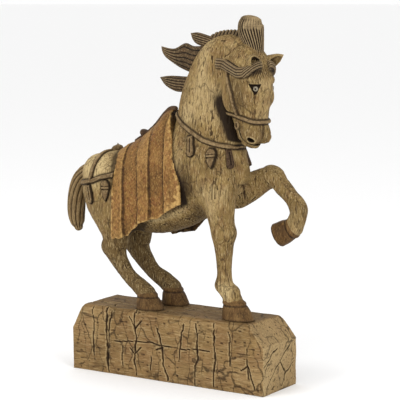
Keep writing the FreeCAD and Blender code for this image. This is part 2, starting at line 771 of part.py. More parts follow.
CHEEK = [(80, 366), (85, 352), (91.5, 337), (95, 314)]
NOSEBAND = [(70, 314), (89, 312.3), (104, 309.5), (116, 306), (138, 303)]
bridle_skin = on_head(body_form("head", "bridle_skin", " + Dimensions.strap_relief"))
cheek_outline = on_head(profile("cheek_outline", band(CHEEK, strap_half * 0.75), -45, 45))
nose_outline = on_head(profile("nose_outline", band(NOSEBAND, strap_half * 0.9), -45, 45))
parts["noseband"] = relief("noseband", bridle_skin, nose_outline, head_form, neck_form)
parts["cheek_straps"] = relief(
    "cheek_straps", bridle_skin, cheek_outline, head_form, neck_form, forelock_outline, nose_outline
)

rings, eyes = [], {}
for side, sign in (("right", -1), ("left", 1)):
    ring = doc.addObject("Part::Torus", f"bit_ring_{side}")
    ring.setExpression("Radius1", "Dimensions.bit_ring_radius")
    ring.setExpression("Radius2", "Dimensions.bit_ring_wire")
    facing = Vector(-0.3, sign * 0.95, 0)
    ring.Placement = Placement(Vector(94.5, sign * 17.8, 301.5), Rotation(Vector(0, 0, 1), facing))
    rings.append(cut(f"bit_ring_{side}_clear", on_head(ring), head_form, parts["noseband"]))
    eye = doc.addObject("Part::Sphere", f"eye_{side}")
    eye.setExpression("Radius", "Dimensions.eye_radius")
    eye.Placement = Placement(Vector(118.4, sign * 14.2, 343), Rotation())
    eyes[side] = on_head(eye)
    parts[f"{side}_eye"] = eyes[side]
parts["bit_rings"] = group("bit_rings", *rings)
parts["head"] = cut("head_with_sockets", parts["head"], *eyes.values(), topknot_peg)
parts["neck"] = cut("neck_with_peg_holes", parts["neck"], *mane_pegs)
parts["trunk"] = cut("trunk_with_peg_hole", parts["trunk"], knob_peg)
parts["mane_pegs"] = group("mane_pegs", *mane_pegs)
parts["topknot_peg"] = topknot_peg


# ---------------------------------------------------------------------- checks

def checked_shape(label, feature):
    shape = feature.Shape
    if shape.isNull() or not shape.isValid():
        raise RuntimeError(f"{label}: bad shape")
    if not shape.Solids:
        raise RuntimeError(f"{label}: no solid")
    return shape


doc.recompute()
for feature in doc.Objects:
    if "Invalid" in feature.State or "Error" in feature.State:
        raise RuntimeError(f"{feature.Name} failed: {feature.State}")
os.makedirs(OUT, exist_ok=True)
for stale in os.listdir(OUT):
    os.remove(os.path.join(OUT, stale))
for label, feature in parts.items():
    feature.Label = label
    shape = checked_shape(label, feature)
    print(f"{label:24s} solids {len(shape.Solids)}  volume {shape.Volume / 1000:9.2f} cm3")
    shape.exportStep(os.path.join(OUT, f"{label}.step"))
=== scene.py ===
"""Looks of the carved wooden horse: every visible piece is sculpted as a distance field around
the sections of its CAD blank, turned into a mesh, then given chisel marks and worn paint.

Lengths in the sculpting code are millimetres; meshes are scaled to metres when they are made.
"""

import math

import bpy
import numpy as np
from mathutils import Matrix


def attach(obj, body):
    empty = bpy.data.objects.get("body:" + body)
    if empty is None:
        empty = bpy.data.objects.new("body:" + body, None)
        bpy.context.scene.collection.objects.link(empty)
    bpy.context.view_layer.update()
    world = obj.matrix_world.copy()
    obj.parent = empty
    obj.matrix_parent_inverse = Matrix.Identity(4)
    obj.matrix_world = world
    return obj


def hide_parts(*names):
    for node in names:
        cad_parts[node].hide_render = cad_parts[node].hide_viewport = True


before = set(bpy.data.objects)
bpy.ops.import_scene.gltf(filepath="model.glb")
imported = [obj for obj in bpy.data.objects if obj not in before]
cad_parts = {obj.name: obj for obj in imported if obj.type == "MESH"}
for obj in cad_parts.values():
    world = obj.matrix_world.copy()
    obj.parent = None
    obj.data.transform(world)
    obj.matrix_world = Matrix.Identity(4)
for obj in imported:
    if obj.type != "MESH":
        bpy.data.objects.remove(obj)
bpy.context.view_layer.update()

import openvdb
from mathutils import Vector

MM = 0.001
FINE = 1.0  # coarser grids while trying things
FAR = 1e9  # farther than anything, to start a search for the nearest
TINY = 1e-9  # keeps divisions and roots away from zero


# ------------------------------------------------------------------ small maths

def smoothstep(value, low, high):
    """0 at low and 1 at high, smooth between and held beyond. low may be the larger one."""
    t = np.clip((value - low) / (high - low), 0, 1)
    return t * t * (3 - 2 * t)


def union(a, b, radius):
    """Smooth union of two fields, with a fillet of about that radius."""
    h = np.clip(0.5 + 0.5 * (b - a) / radius, 0, 1)
    return b * (1 - h) + a * h - radius * h * (1 - h)


def carve_off(a, b, radius):
    """a with b smoothly taken away."""
    return -union(-a, b, radius)


def overlap(a, b, radius=0.0):
    """What a and b share, with a rounded edge."""
    if radius == 0:
        return np.maximum(a, b)
    return -union(-a, -b, radius)


LATTICE_SIZE = 32
LATTICES = {}


def noise(p, size, seed):
    """Smooth noise from -1 to 1. size is its wavelength, one number or one for each axis."""
    if seed not in LATTICES:
        values = np.random.RandomState(seed).uniform(-1, 1, (LATTICE_SIZE,) * 3)
        LATTICES[seed] = values.astype(np.float32)
    lattice = LATTICES[seed]
    q = p / np.asarray(size, float) + 100.37 + seed * 3.1  # each seed starts somewhere else
    cell = np.floor(q).astype(int)
    f = q - cell
    f = f * f * (3 - 2 * f)
    total = 0
    for corner in np.ndindex(2, 2, 2):
        near = [f[..., axis] if up else 1 - f[..., axis] for axis, up in enumerate(corner)]
        spot = tuple((cell[..., axis] + up) % LATTICE_SIZE for axis, up in enumerate(corner))
        total = total + near[0] * near[1] * near[2] * lattice[spot]
    return total


def curve(points, count):
    """count points on a smooth line through the given ones."""
    p = np.asarray(points, float)
    ends = np.vstack([2 * p[0] - p[1], p, 2 * p[-1] - p[-2]])
    t = np.linspace(0, len(p) - 1, count)
    i = np.minimum(t.astype(int), len(p) - 2)
    f = (t - i)[:, None]
    a, b, c, d = ends[i], ends[i + 1], ends[i + 2], ends[i + 3]
    return 0.5 * (
        2 * b + (c - a) * f + (2 * a - 5 * b + 4 * c - d) * f**2 + (3 * b - a - 3 * c + d) * f**3
    )


def line_distance(px, pz, points):
    """Distance in the side view from a polyline, and how far along it the nearest spot is, 0 to 1."""
    px, pz = np.broadcast_arrays(px, pz)
    best = np.full(px.shape, FAR)
    along = np.zeros(px.shape)
    points = np.asarray(points, float)
    for i, (a, b) in enumerate(zip(points[:-1], points[1:])):
        d = b - a
        t = np.clip(((px - a[0]) * d[0] + (pz - a[1]) * d[1]) / (d @ d + TINY), 0, 1)
        dist = np.hypot(px - a[0] - t * d[0], pz - a[1] - t * d[1])
        nearer = dist < best
        best = np.where(nearer, dist, best)
        along = np.where(nearer, (i + t) / (len(points) - 1), along)
    return best, along


def outline_distance(px, pz, points):
    """Signed distance from a closed outline in the side view, negative inside."""
    points = np.asarray(points, float)
    closed = np.vstack([points, points[:1]])
    px, pz = np.broadcast_arrays(px, pz)
    dist, _ = line_distance(px, pz, closed)
    inside = np.zeros(px.shape, bool)
    for a, b in zip(closed[:-1], closed[1:]):
        crosses = (a[1] > pz) != (b[1] > pz)
        rise = b[1] - a[1] if b[1] != a[1] else TINY
        inside ^= crosses & (px < a[0] + (pz - a[1]) * (b[0] - a[0]) / rise)
    return np.where(inside, -dist, dist)


def fade(px, pz, centre, size, power=2):
    """1 at a centre in the side view, fading to 0 over about that size each way."""
    return np.exp(
        -(((px - centre[0]) / size[0]) ** power + ((pz - centre[1]) / size[1]) ** power)
    )


def side_view(x, z):
    """A block's grids of x and z, laid out flat."""
    return np.broadcast_arrays(x[:, 0, :], z[:, 0, :])


# ------------------------------------------------------------------------ forms

def strand_wave(phase):
    """1 on top of a strand of hair, 0 in the groove beside it."""
    return np.abs(np.sin(phase / 2)) ** 0.7


def oval_field(parts, power=2.0):
    """An oval's field from its (offset, radius) pairs, one for each axis. power squares it off."""
    k = (sum(np.abs(off / radius) ** power for off, radius in parts) + TINY) ** (1 / power)
    slope = np.sqrt(sum((off / radius**2) ** 2 for off, radius in parts)) + 1e-6
    return k * (k - 1) / slope


SECTIONS_PER_ROW = 8


class Form:
    """A limb or trunk: oval sections (x, y, z, depth, width) strung on a smooth spine."""

    def __init__(self, rows, power=2.0):
        dense = curve(rows, 1 + SECTIONS_PER_ROW * (len(rows) - 1))
        self.spine = dense[:, :3]
        self.deep = dense[:, 3] / 2
        self.wide = dense[:, 4] / 2
        self.power = power

    def section_at(self, px, pz):
        """The section nearest to a spot in the side view.

        u is how far off the spine the spot is and over how far past its end; cy is the
        section's middle across the horse, a and b its half depth and half width.
        """
        best = np.full(np.shape(px), FAR)
        out = {key: np.zeros(np.shape(px)) for key in ("u", "over", "cy", "a", "b")}
        for i in range(len(self.spine) - 1):
            start, end = self.spine[i], self.spine[i + 1]
            dx, dz = end[0] - start[0], end[2] - start[2]
            length = math.hypot(dx, dz) + TINY
            t = ((px - start[0]) * dx + (pz - start[2]) * dz) / length**2
            held = np.clip(t, 0, 1)
            qx = px - start[0] - held * dx
            qz = pz - start[2] - held * dz
            dist = qx * qx + qz * qz
            nearer = dist < best
            if not nearer.any():
                continue
            best = np.where(nearer, dist, best)
            here = {
                "u": (qx * dz - qz * dx) / length,
                "over": (t - held) * length,
                "cy": start[1] + held * (end[1] - start[1]),
                "a": self.deep[i] + held * (self.deep[i + 1] - self.deep[i]),
                "b": self.wide[i] + held * (self.wide[i + 1] - self.wide[i]),
            }
            for key, value in here.items():
                out[key] = np.where(nearer, value, out[key])
        return out

    def field(self, x, y, z):
        """Distance field on a block (x, y, z as open grids) or at loose points of one shape."""
        if x.ndim == 3 and x.shape[1] == 1:
            px, pz = side_view(x, z)
            s = {k: v[:, None, :] for k, v in self.section_at(px, pz).items()}
        else:
            s = self.section_at(x, z)
        a, b = np.maximum(s["a"], 0.5), np.maximum(s["b"], 0.5)
        cap = np.minimum(a, b)
        return oval_field(((s["u"], a), (y - s["cy"], b), (s["over"], cap)), self.power)


def ball(x, y, z, centre, radii, lean=0.0):
    """An ellipsoid's field, leaned forward about Y by that many degrees."""
    c, s = math.cos(math.radians(lean)), math.sin(math.radians(lean))
    dx, dy, dz = x - centre[0], y - centre[1], z - centre[2]
    return oval_field(
        ((dx * c + dz * s, radii[0]), (dy, radii[1]), (dz * c - dx * s, radii[2]))
    )


def strand(x, y, z, points, radii):
    """A tapering curved rod through (x, y, z) points."""
    path = curve(points, 1 + 4 * (len(points) - 1))
    size = np.interp(np.linspace(0, 1, len(path)), np.linspace(0, 1, len(radii)), radii)
    best = None
    for a, b, ra, rb in zip(path[:-1], path[1:], size[:-1], size[1:]):
        d = b - a
        off = x - a[0], y - a[1], z - a[2]
        t = (off[0] * d[0] + off[1] * d[1] + off[2] * d[2]) / (d[0] ** 2 + d[1] ** 2 + d[2] ** 2)
        t = np.clip(t, 0, 1)
        far = np.sqrt(sum((off[axis] - t * d[axis]) ** 2 for axis in range(3)))
        here = far - (ra + t * (rb - ra))
        best = here if best is None else np.minimum(best, here)
    return best


# --------------------------------------------------------------- meshes from fields

def block(low, high, step):
    """Open grids covering a box, and what is needed to turn them into a mesh."""
    step = step * FINE
    axes = [np.arange(a - 2 * step, b + 3 * step, step, dtype=float) for a, b in zip(low, high)]
    x, y, z = axes[0][:, None, None], axes[1][None, :, None], axes[2][None, None, :]
    return x, y, z, (np.array([a[0] for a in axes]), step)


def neighbour_mean(co, quads):
    """Each vertex's neighbours' average place."""
    total = np.zeros_like(co)
    count = np.zeros(len(co))
    for i in range(4):
        a, b = quads[:, i], quads[:, (i + 1) % 4]
        for end, other in ((a, b), (b, a)):
            count += np.bincount(end, minlength=len(co))
            for axis in range(3):
                total[:, axis] += np.bincount(end, co[other, axis], len(co))
    return total / np.maximum(count, 1)[:, None]


def vertex_normals(co, quads):
    face = np.cross(co[quads[:, 2]] - co[quads[:, 0]], co[quads[:, 3]] - co[quads[:, 1]])
    out = np.zeros_like(co)
    for i in range(4):
        for axis in range(3):
            out[:, axis] += np.bincount(quads[:, i], face[:, axis], len(co))
    return out / (np.linalg.norm(out, axis=1)[:, None] + 1e-12)


def hollowness(co, quads, rounds):
    """How far each vertex lies below its surroundings, in millimetres."""
    smooth = co
    for _ in range(rounds):
        smooth = neighbour_mean(smooth, quads)
    return ((smooth - co) * vertex_normals(co, quads)).sum(1)


def mesh_of(field, place):
    """The surface where the field is zero: its points in millimetres and its quads."""
    origin, step = place
    vdb = openvdb.FloatGrid()
    vdb.copyFromArray(np.ascontiguousarray(field, np.float32))
    points, quads = vdb.convertToQuads(isovalue=0.0)
    return points.astype(float) * step + origin, quads.astype(int)


SEAM_SINK = 0.9  # how far the end of a fillet is sunk into the next piece
NEAR = 2  # how far round a vertex its near surroundings reach
FARTHER = 7  # how many times farther its wider surroundings reach
FINE_HOLLOW, BROAD_HOLLOW = 0.22, 0.9  # how far below its near and wider surroundings is a mark of 1


def sculpt(name, field, place, material, surface, turn=None, seam=None):
    """Makes one piece from its field and hides the CAD node it stands for.

    surface(co, normals) gives how far each vertex moves outwards, and its marks. turn takes the
    finished piece to its place. seam(co) goes from 0 to 1 along a fillet onto another piece;
    the end of the fillet is sunk into that piece, and no painted shade gathers there.
    """
    co, quads = mesh_of(field, place)
    step = np.linalg.norm(co[quads[:, 1]] - co[quads[:, 0]], axis=1).mean()
    normals = vertex_normals(co, quads)
    push, marks = surface(co, normals)
    if seam:
        push = push - SEAM_SINK * smoothstep(seam(co), 0.82, 0.97)
    co = co + normals * push[:, None]
    if turn:
        co = turn(co)
    rounds = max(1, int(round(NEAR / step)))
    # the hollow marks, which drive the painted shade and the rubbed edges, fade out near the seam
    away = 1 - smoothstep(seam(co), 0.5, 0.8) if seam else 1.0
    marks["fine_hollow"] = hollowness(co, quads, rounds) / FINE_HOLLOW * away
    marks["broad_hollow"] = hollowness(co, quads, rounds * FARTHER) / BROAD_HOLLOW * away
    mesh = bpy.data.meshes.new(name)
    mesh.vertices.add(len(co))
    mesh.vertices.foreach_set("co", (co * MM).astype(np.float32).ravel())
    mesh.loops.add(4 * len(quads))
    mesh.loops.foreach_set("vertex_index", quads.astype(np.int32).ravel())
    mesh.polygons.add(len(quads))
    mesh.polygons.foreach_set("loop_start", np.arange(0, 4 * len(quads), 4, dtype=np.int32))
    mesh.update(calc_edges=True)
    mesh.shade_smooth()
    for mark, values in marks.items():
        layer = mesh.attributes.new(mark, "FLOAT", "POINT")
        layer.data.foreach_set("value", np.asarray(values, np.float32))
    mesh.materials.append(material)
    made = bpy.data.objects.new(name + "_carved", mesh)
    bpy.context.scene.collection.objects.link(made)
    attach(made, "root")
    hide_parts(name)
    return made


# -------------------------------------------------------------------- materials

def feed(tree, socket, value):
    """Links a socket to an output, or sets it to a number, a vector or a colour."""
    if hasattr(value, "links"):
        tree.links.new(value, socket)
    elif socket.type == "RGBA":
        socket.default_value = (*value, 1)
    else:
        socket.default_value = value


def added(tree, kind, inputs):
    """A new node with its inputs fed, by name."""
    node = tree.nodes.new(kind)
    for name, value in inputs.items():
        feed(tree, node.inputs[name], value)
    return node


def mixed(tree, factor, a, b):
    """Colour a turning into colour b as the factor goes from 0 to 1."""
    mix = tree.nodes.new("ShaderNodeMix")
    mix.data_type = "RGBA"
    for name, value in (("Factor", factor), ("A", a), ("B", b)):
        feed(tree, mix.inputs[name], value)
    return mix.outputs["Result"]


def maths(tree, how, a, b, clamp=False):
    node = tree.nodes.new("ShaderNodeMath")
    node.operation = how
    node.use_clamp = clamp
    feed(tree, node.inputs[0], a)
    feed(tree, node.inputs[1], b)
    return node.outputs[0]


def speckle(tree, size_mm, stretch, detail, seed, roughness=0.6, twist=0.0):
    """Noise with features of that size, stretched along the axes."""
    coords = tree.nodes.new("ShaderNodeTexCoord")
    mapping = added(tree, "ShaderNodeMapping", {
        "Scale": tuple(1 / s for s in stretch),
        "Location": (seed, seed * 0.7, -seed),
        "Vector": coords.outputs["Object"],
    })
    tex = added(tree, "ShaderNodeTexNoise", {
        "Scale": 1 / (size_mm * MM),
        "Detail": detail,
        "Roughness": roughness,
        "Distortion": twist,
        "Vector": mapping.outputs["Vector"],
    })
    return tex.outputs["Fac"]


def mark(tree, name):
    """One of the values that sculpt leaves on every vertex."""
    node = tree.nodes.new("ShaderNodeAttribute")
    node.attribute_name = name
    return node.outputs["Fac"]


def window(tree, source, low, high):
    """source stretched so that low is 0 and high is 1."""
    node = added(tree, "ShaderNodeMapRange", {"From Min": low, "From Max": high, "Value": source})
    return node.outputs["Result"]


def crackle_lines(tree, crowding, strength):
    """A net of fine drying cracks, mostly upright, fading in and out."""
    coords = tree.nodes.new("ShaderNodeTexCoord").outputs["Object"]
    wobble = added(
        tree, "ShaderNodeTexNoise", {"Scale": 90.0 * crowding, "Detail": 4.0, "Vector": coords}
    )
    bend = tree.nodes.new("ShaderNodeVectorMath")
    bend.operation = "MULTIPLY_ADD"
    for socket, value in zip(bend.inputs, (wobble.outputs["Color"], (0.011 / crowding,) * 3, coords)):
        feed(tree, socket, value)
    mapping = added(tree, "ShaderNodeMapping", {
        "Scale": tuple(s * crowding for s in (62.0, 48.0, 24.0)),
        "Vector": bend.outputs["Vector"],
    })
    cells = tree.nodes.new("ShaderNodeTexVoronoi")
    cells.feature = "DISTANCE_TO_EDGE"
    feed(tree, cells.inputs["Scale"], 1.0)
    feed(tree, cells.inputs["Vector"], mapping.outputs["Vector"])
    thin = window(tree, cells.outputs["Distance"], 0.05, 0.012)
    here_and_there = window(tree, speckle(tree, 22.0, (1, 1, 1), 3.0, 9.0), 0.4, 0.52)
    fading = maths(tree, "MULTIPLY", here_and_there, strength, True)
    return maths(tree, "MULTIPLY", thin, fading, True)


def blend(a, b, share_a, share_b):
    """A colour made of two others."""
    return tuple(share_a * one + share_b * other for one, other in zip(a, b))


def worn_paint(
    name, base, light, dark, tint, grain=(1, 1, 7), dashes=0.5, rough=0.72, bump=0.35,
    tint_amount=0.5, mottling=9.0, crackle=None,
):
    """Rubbed matt paint on carved wood.

    base is the paint, light where it is rubbed on edges and where highlights are painted, dark
    the painted shade in the hollows and the painted shadows, and tint a second tone in patches
    of the mottling's size. grain stretches the marks along the wood, dashes is how strong its
    dark ones are, and crackle is the (crowding, strength) of its drying cracks.
    """
    material = bpy.data.materials.new(name)
    material.use_nodes = True
    tree = material.node_tree
    shader = tree.nodes["Principled BSDF"]

    def coat(under, mask, amount, over):
        """The colour under, with the colour over laid on it where the mask says."""
        return mixed(tree, maths(tree, "MULTIPLY", mask, amount, True), under, over)

    half = blend(base, dark, 0.5, 0.5)
    patches = speckle(tree, mottling, (1, 1, 1.6), 5.0, 1.3)
    colour = coat(base, window(tree, patches, 0.42, 0.62), tint_amount, tint)
    clouds = speckle(tree, 26.0, (1, 1, 1.5), 3.0, 2.2)
    colour = coat(colour, window(tree, clouds, 0.5, 0.64), 0.75, half)
    # tone makes the paint paler or darker: paint that differs from place to place, and painted
    # highlights and painted shade
    tone = mark(tree, "tone")
    colour = coat(colour, tone, 1.0, blend(base, light, 0.25, 0.85))
    colour = coat(colour, tone, -1.0, blend(base, dark, 0.35, 0.65))
    fibres = speckle(tree, 1.3, grain, 4.0, 4.1, 0.68)
    colour = coat(colour, window(tree, fibres, 0.52, 0.66), 0.6, light)
    colour = coat(colour, window(tree, fibres, 0.47, 0.36), 0.55, half)
    longer = tuple(g * 1.3 if g > 1 else g for g in grain)
    streaks = speckle(tree, 2.0, longer, 4.0, 7.7, 0.66, 0.5)
    colour = coat(colour, window(tree, streaks, 0.53, 0.64), dashes, dark)
    pits = speckle(tree, 0.9, tuple(0.5 + 0.3 * g for g in grain), 2.0, 12.4, 0.5)
    colour = coat(colour, window(tree, pits, 0.6, 0.7), 0.6, dark)
    fine = mark(tree, "fine_hollow")
    broad = mark(tree, "broad_hollow")
    colour = coat(colour, window(tree, fine, -0.3, -1.3), 0.5, light)
    # painted shade in the hollows, the deeper the darker
    painted_shade = maths(tree, "ADD", window(tree, fine, 0.12, 0.9), window(tree, broad, 0.25, 1.3), True)
    colour = coat(colour, painted_shade, 0.85, dark)
    if crackle:
        colour = mixed(tree, crackle_lines(tree, *crackle), colour, tuple(c * 0.4 for c in dark))
    # dark marks, and painted shadows and shade, that sculpt leaves on each vertex
    colour = coat(colour, mark(tree, "crack"), 0.97, tuple(c * 0.3 for c in dark))
    feed(tree, shader.inputs["Base Color"], colour)
    uneven = maths(tree, "MULTIPLY", window(tree, fibres, 0.2, 0.8), 0.16)
    feed(tree, shader.inputs["Roughness"], maths(tree, "ADD", uneven, rough - 0.08))
    feed(tree, shader.inputs["Specular IOR Level"], 0.12)
    height = maths(tree, "ADD", fibres, maths(tree, "MULTIPLY", streaks, -0.8))
    bumps = added(
        tree, "ShaderNodeBump", {"Strength": bump, "Distance": 0.6 * MM, "Height": height}
    )
    feed(tree, shader.inputs["Normal"], bumps.outputs["Normal"])
    return material


# Each paint's colours are its base, light, dark and tint.
BODY_PAINT = worn_paint(
    "body_paint", (0.238, 0.157, 0.055), (0.48, 0.365, 0.185),
    (0.034, 0.016, 0.006), (0.165, 0.09, 0.036),
    grain=(1, 1, 6.5), dashes=0.8, bump=0.7, tint_amount=0.75, mottling=7.0, crackle=(1.6, 0.5),
)
HAIR_PAINT = worn_paint(
    "hair_paint", (0.055, 0.034, 0.016), (0.33, 0.24, 0.125),
    (0.012, 0.007, 0.004), (0.12, 0.066, 0.03),
    grain=(1, 1, 1), dashes=0.3, bump=0.3,
)
TAIL_PAINT = worn_paint(
    "tail_paint", (0.17, 0.108, 0.043), (0.39, 0.285, 0.145),
    (0.022, 0.012, 0.006), (0.17, 0.1, 0.042),
    grain=(1, 1, 6), dashes=0.45, bump=0.4,
)
CLOTH_PAINT = worn_paint(
    "cloth_gilt", (0.21, 0.103, 0.026), (0.44, 0.275, 0.095),
    (0.045, 0.02, 0.006), (0.15, 0.05, 0.018),
    grain=(1, 1, 2.5), dashes=0.55, rough=0.6, tint_amount=0.75, mottling=4.0, bump=0.6,
)
SADDLE_PAINT = worn_paint(
    "saddle_brown", (0.055, 0.03, 0.016), (0.15, 0.095, 0.05),
    (0.012, 0.007, 0.004), (0.085, 0.045, 0.022),
    grain=(4, 1, 1),
)
HOOF_PAINT = worn_paint(
    "hoof_brown", (0.092, 0.048, 0.015), (0.22, 0.13, 0.048),
    (0.02, 0.01, 0.004), (0.07, 0.03, 0.011),
    grain=(1, 1, 4), dashes=0.6, rough=0.62,
)
HARNESS_PAINT = worn_paint(
    "harness_paint", (0.135, 0.085, 0.036), (0.33, 0.235, 0.12),
    (0.025, 0.014, 0.006), (0.12, 0.07, 0.032),
    grain=(2, 2, 2), mottling=5.0,
)
PLINTH_WOOD = worn_paint(
    "plinth_wood", (0.23, 0.142, 0.054), (0.39, 0.285, 0.14),
    (0.042, 0.021, 0.008), (0.19, 0.1, 0.042),
    grain=(9, 1, 1), dashes=0.45, mottling=14.0, bump=0.6, tint_amount=0.65, crackle=(1.0, 0.72),
)
DOWEL_WOOD = worn_paint(
    "dowel_wood", (0.4, 0.26, 0.13), (0.52, 0.37, 0.21),
    (0.2, 0.12, 0.06), (0.34, 0.22, 0.11),
    grain=(1, 1, 8), dashes=0.15,
)


# ------------------------------------------------------------- the horse's forms

TRUNK = Form([
    (-131, 0, 226, 24, 22), (-122, 0, 222, 54, 50), (-102, 0, 218, 84, 68), (-72, 0, 219, 94, 72),
    (-36, 0, 221, 108, 76), (0, 0, 236, 114, 76), (34, 0, 245, 94, 74), (60, 0, 245, 76, 66),
    (73, 0, 244, 50, 46), (79, 0, 244, 22, 20),
])
NECK = Form([
    (38, 0, 262, 88, 62), (36, 0, 292, 84, 54), (36, 0, 322, 72, 46), (42, 0, 350, 62, 40),
    (52, 0, 370, 56, 36), (66, 0, 381, 44, 32), (80, 0, 384, 30, 26),
])
RIGHT_FORELEG = Form([
    (52, -16, 250, 50, 20), (58, -18, 228, 52, 34), (63, -19, 207, 38, 32), (66, -19, 190, 30, 27),
    (68, -19, 176, 28, 26), (69, -19, 160, 22, 21), (69, -18, 136, 17.5, 17), (70, -18, 119, 20, 19),
    (76, -17, 108, 20, 20), (80, -17, 100, 23, 23),
])
LEFT_FOREARM = Form([
    (48, 14, 226, 44, 20), (62, 19, 222, 42, 28), (80, 22, 228, 33, 27), (97, 22, 237, 27, 24),
    (106, 22, 240, 25, 23),
])
LEFT_CANNON = Form([
    (106, 22, 240, 25, 23), (119, 22, 232, 21, 20), (132, 22, 220, 18, 17), (140.5, 22, 210, 20.5, 20),
    (142, 22, 199, 20, 20), (136.5, 22, 185, 22, 22),
])
RIGHT_HIND = Form([
    (-94, -16, 222, 50, 26), (-88, -19, 200, 58, 36), (-82, -21, 178, 46, 34), (-80, -21, 160, 33, 27),
    (-81, -21, 148, 29, 24), (-76, -20, 134, 21, 20), (-62, -20, 117, 17, 17), (-47, -20, 106, 19, 19),
    (-37, -20, 98, 22, 22),
])
LEFT_HIND = Form([
    (-92, 16, 222, 54, 26), (-88, 19, 200, 60, 36), (-78, 21, 178, 46, 34), (-76, 21, 160, 33, 27),
    (-77, 21, 146, 29, 24), (-69, 21, 132, 23, 20), (-55, 21, 117, 19, 17), (-38, 21, 107, 21, 19),
    (-28, 21, 99, 23, 22),
])
TAIL = Form([
    (-120, 0, 236, 16, 16), (-134, 0, 236, 18, 18), (-146, 0, 226, 20, 20), (-152.5, 0, 208, 22, 22),
    (-154, 0, 186, 22, 22), (-152.5, 0, 172, 18, 18), (-151, 0, 166, 11, 11),
])
HEAD_YAW = math.radians(-17)
HEAD_PIVOT = 72.0
HEAD = Form([
    (84, 0, 386.5, 20, 18), (87, 0, 381, 42, 32), (91, 0, 366, 58, 43), (93, 0, 346, 64, 45),
    (95, 0, 328, 55, 40), (98, 0, 311, 43, 34), (101, 0, 296, 36, 31), (102.5, 0, 287, 32, 28),
    (103, 0, 281.5, 14, 13),
], power=2.5)


def turned_with_head(x, y, way=1):
    """Where x and y go when the head turns, or, with way -1, where they came from."""
    c, s = math.cos(HEAD_YAW), math.sin(HEAD_YAW) * way
    dx = x - HEAD_PIVOT
    return HEAD_PIVOT + dx * c - y * s, dx * s + y * c


def head_to_world(co):
    """Turns points of the head's own frame with the head."""
    x, y = turned_with_head(co[:, 0], co[:, 1])
    return np.stack([x, y, co[:, 2]], 1)


def head_from_world(co):
    """Where points of the world are in the head's own frame."""
    x, y = turned_with_head(co[:, 0], co[:, 1], -1)
    return np.stack([x, y, co[:, 2]], 1)


def neck_behind_head(x, y, z):
    """The neck's field on grids laid out in the head's own frame."""
    world_x, world_y = turned_with_head(x, y)
    return NECK.field(world_x, world_y, z + 0 * world_x)


# Balls of flesh that fill out the forms, as (centre, radii); each has a twin on the left side.
LOIN = (-100, 20, 236), (26, 18, 24)
BREAST = (66, 15, 246), (14, 15, 24)
CHEEK = (87, 13, 337), (20, 10.5, 26)
MUZZLE = (108, 8, 292), (11.5, 8.5, 12)
NECK_FILLET = 16
LEG_FILLET = 14

# Everything below is laid out in the side view, as (x, z).
# A strap is its course, half its width, and how proud it stands.
COLLAR = [(-6, 312), (14, 300), (32, 291), (47, 283.5), (62, 279), (80, 275.5), (100, 275)], 2.2, 2.3
CRUPPER = [(-62, 240), (-76, 236.6), (-89, 233.6), (-100, 229.2), (-124, 224.3), (-140, 222)], 2.7, 2.4
HIP_STRAP = [(-94, 272), (-99, 252), (-104, 230)], 2.4, 2.2
CHEEK_STRAP = [(80, 366), (85, 352), (91.5, 337), (95, 314)], 1.7, 2.4
NOSEBAND = [(70, 314), (89, 312.3), (104, 309.5), (116, 306), (138, 303)], 2.1, 2.4
FORELOCK = [
    (61, 370), (69, 369.5), (78, 368.5), (90, 365), (101, 361), (110, 361), (117, 365.5), (123, 372),
]
ARROW = [
    # the strokes of the mark cut into the right side of the breast
    [(61, 231), (65, 238.5), (69, 230)],
    [(63.2, 232), (63, 218)],
    [(66.8, 232), (66.6, 219)],
]
HANGING = {
    # top and bottom of the ornament, its width, and whether it is an acorn-like drop
    "shoulder_tags": ((30, 288), (35.5, 264.5), 10.0, False),
    "shoulder_drops": ((58.5, 275), (61.5, 252.5), 11.0, True),
    "crupper_drops": ((-83, 231), (-82, 206), 11.0, True),
    "crupper_tassels": ((-107.5, 224), (-106, 201), 8.0, False),
}
RIGHT_CLOTH = [
    (-84, 330), (-84, 266), (-81, 262), (-74, 240), (-71, 200), (-72, 161), (-66, 164.5), (-60, 163),
    (-54, 167.5), (-49, 168), (-42, 175.5), (-37, 178), (-31, 184.5), (-25, 186), (-14, 190),
    (-5, 191), (8, 201), (25, 210), (22, 230), (14, 252), (2, 287), (-10, 316), (-10, 330),
]
LEFT_CLOTH = [
    (-84, 330), (-84, 266), (-81, 262), (-74, 240), (-69, 205), (-63, 174), (-50, 167), (-41, 160),
    (-31, 163), (-10, 166), (7, 184), (25, 208), (22, 230), (14, 252), (2, 287), (-10, 316),
    (-10, 330),
]


def hanging_outline(top, bottom, width, acorn):
    """An ornament's outline, from how wide it is, as a share of its width, on the way down."""
    top, bottom = np.array(top, float), np.array(bottom, float)
    down = bottom - top
    side = np.array([-down[1], down[0]]) / np.hypot(*down) * width / 2
    if acorn:
        spots = [
            (0, 0.4), (0.1, 0.75), (0.2, 0.98), (0.42, 1.0),
            (0.47, 0.84), (0.62, 0.8), (0.82, 0.5), (1, 0),
        ]
    else:
        spots = [(0, 0.8), (0.4, 0.85), (0.75, 1.0), (0.93, 0.75), (1, 0)]
    left = [top + down * along + side * out for along, out in spots]
    right = [top + down * along - side * out for along, out in reversed(spots)]
    return left + right


def shadow_beside(px, pz, straps, outlines, reach):
    """Painted shadow against the edges of raised straps and ornaments, 0 to 1."""
    dark = np.zeros(len(px))
    for course, half, _ in straps:
        dist, _ = line_distance(px, pz, course)
        dark = np.maximum(dark, 1 - smoothstep(dist, half + 0.1, half + reach))
    for outline in outlines:
        dist = outline_distance(px, pz, outline)
        dark = np.maximum(dark, 1 - smoothstep(dist, 0.1, reach))
    return dark


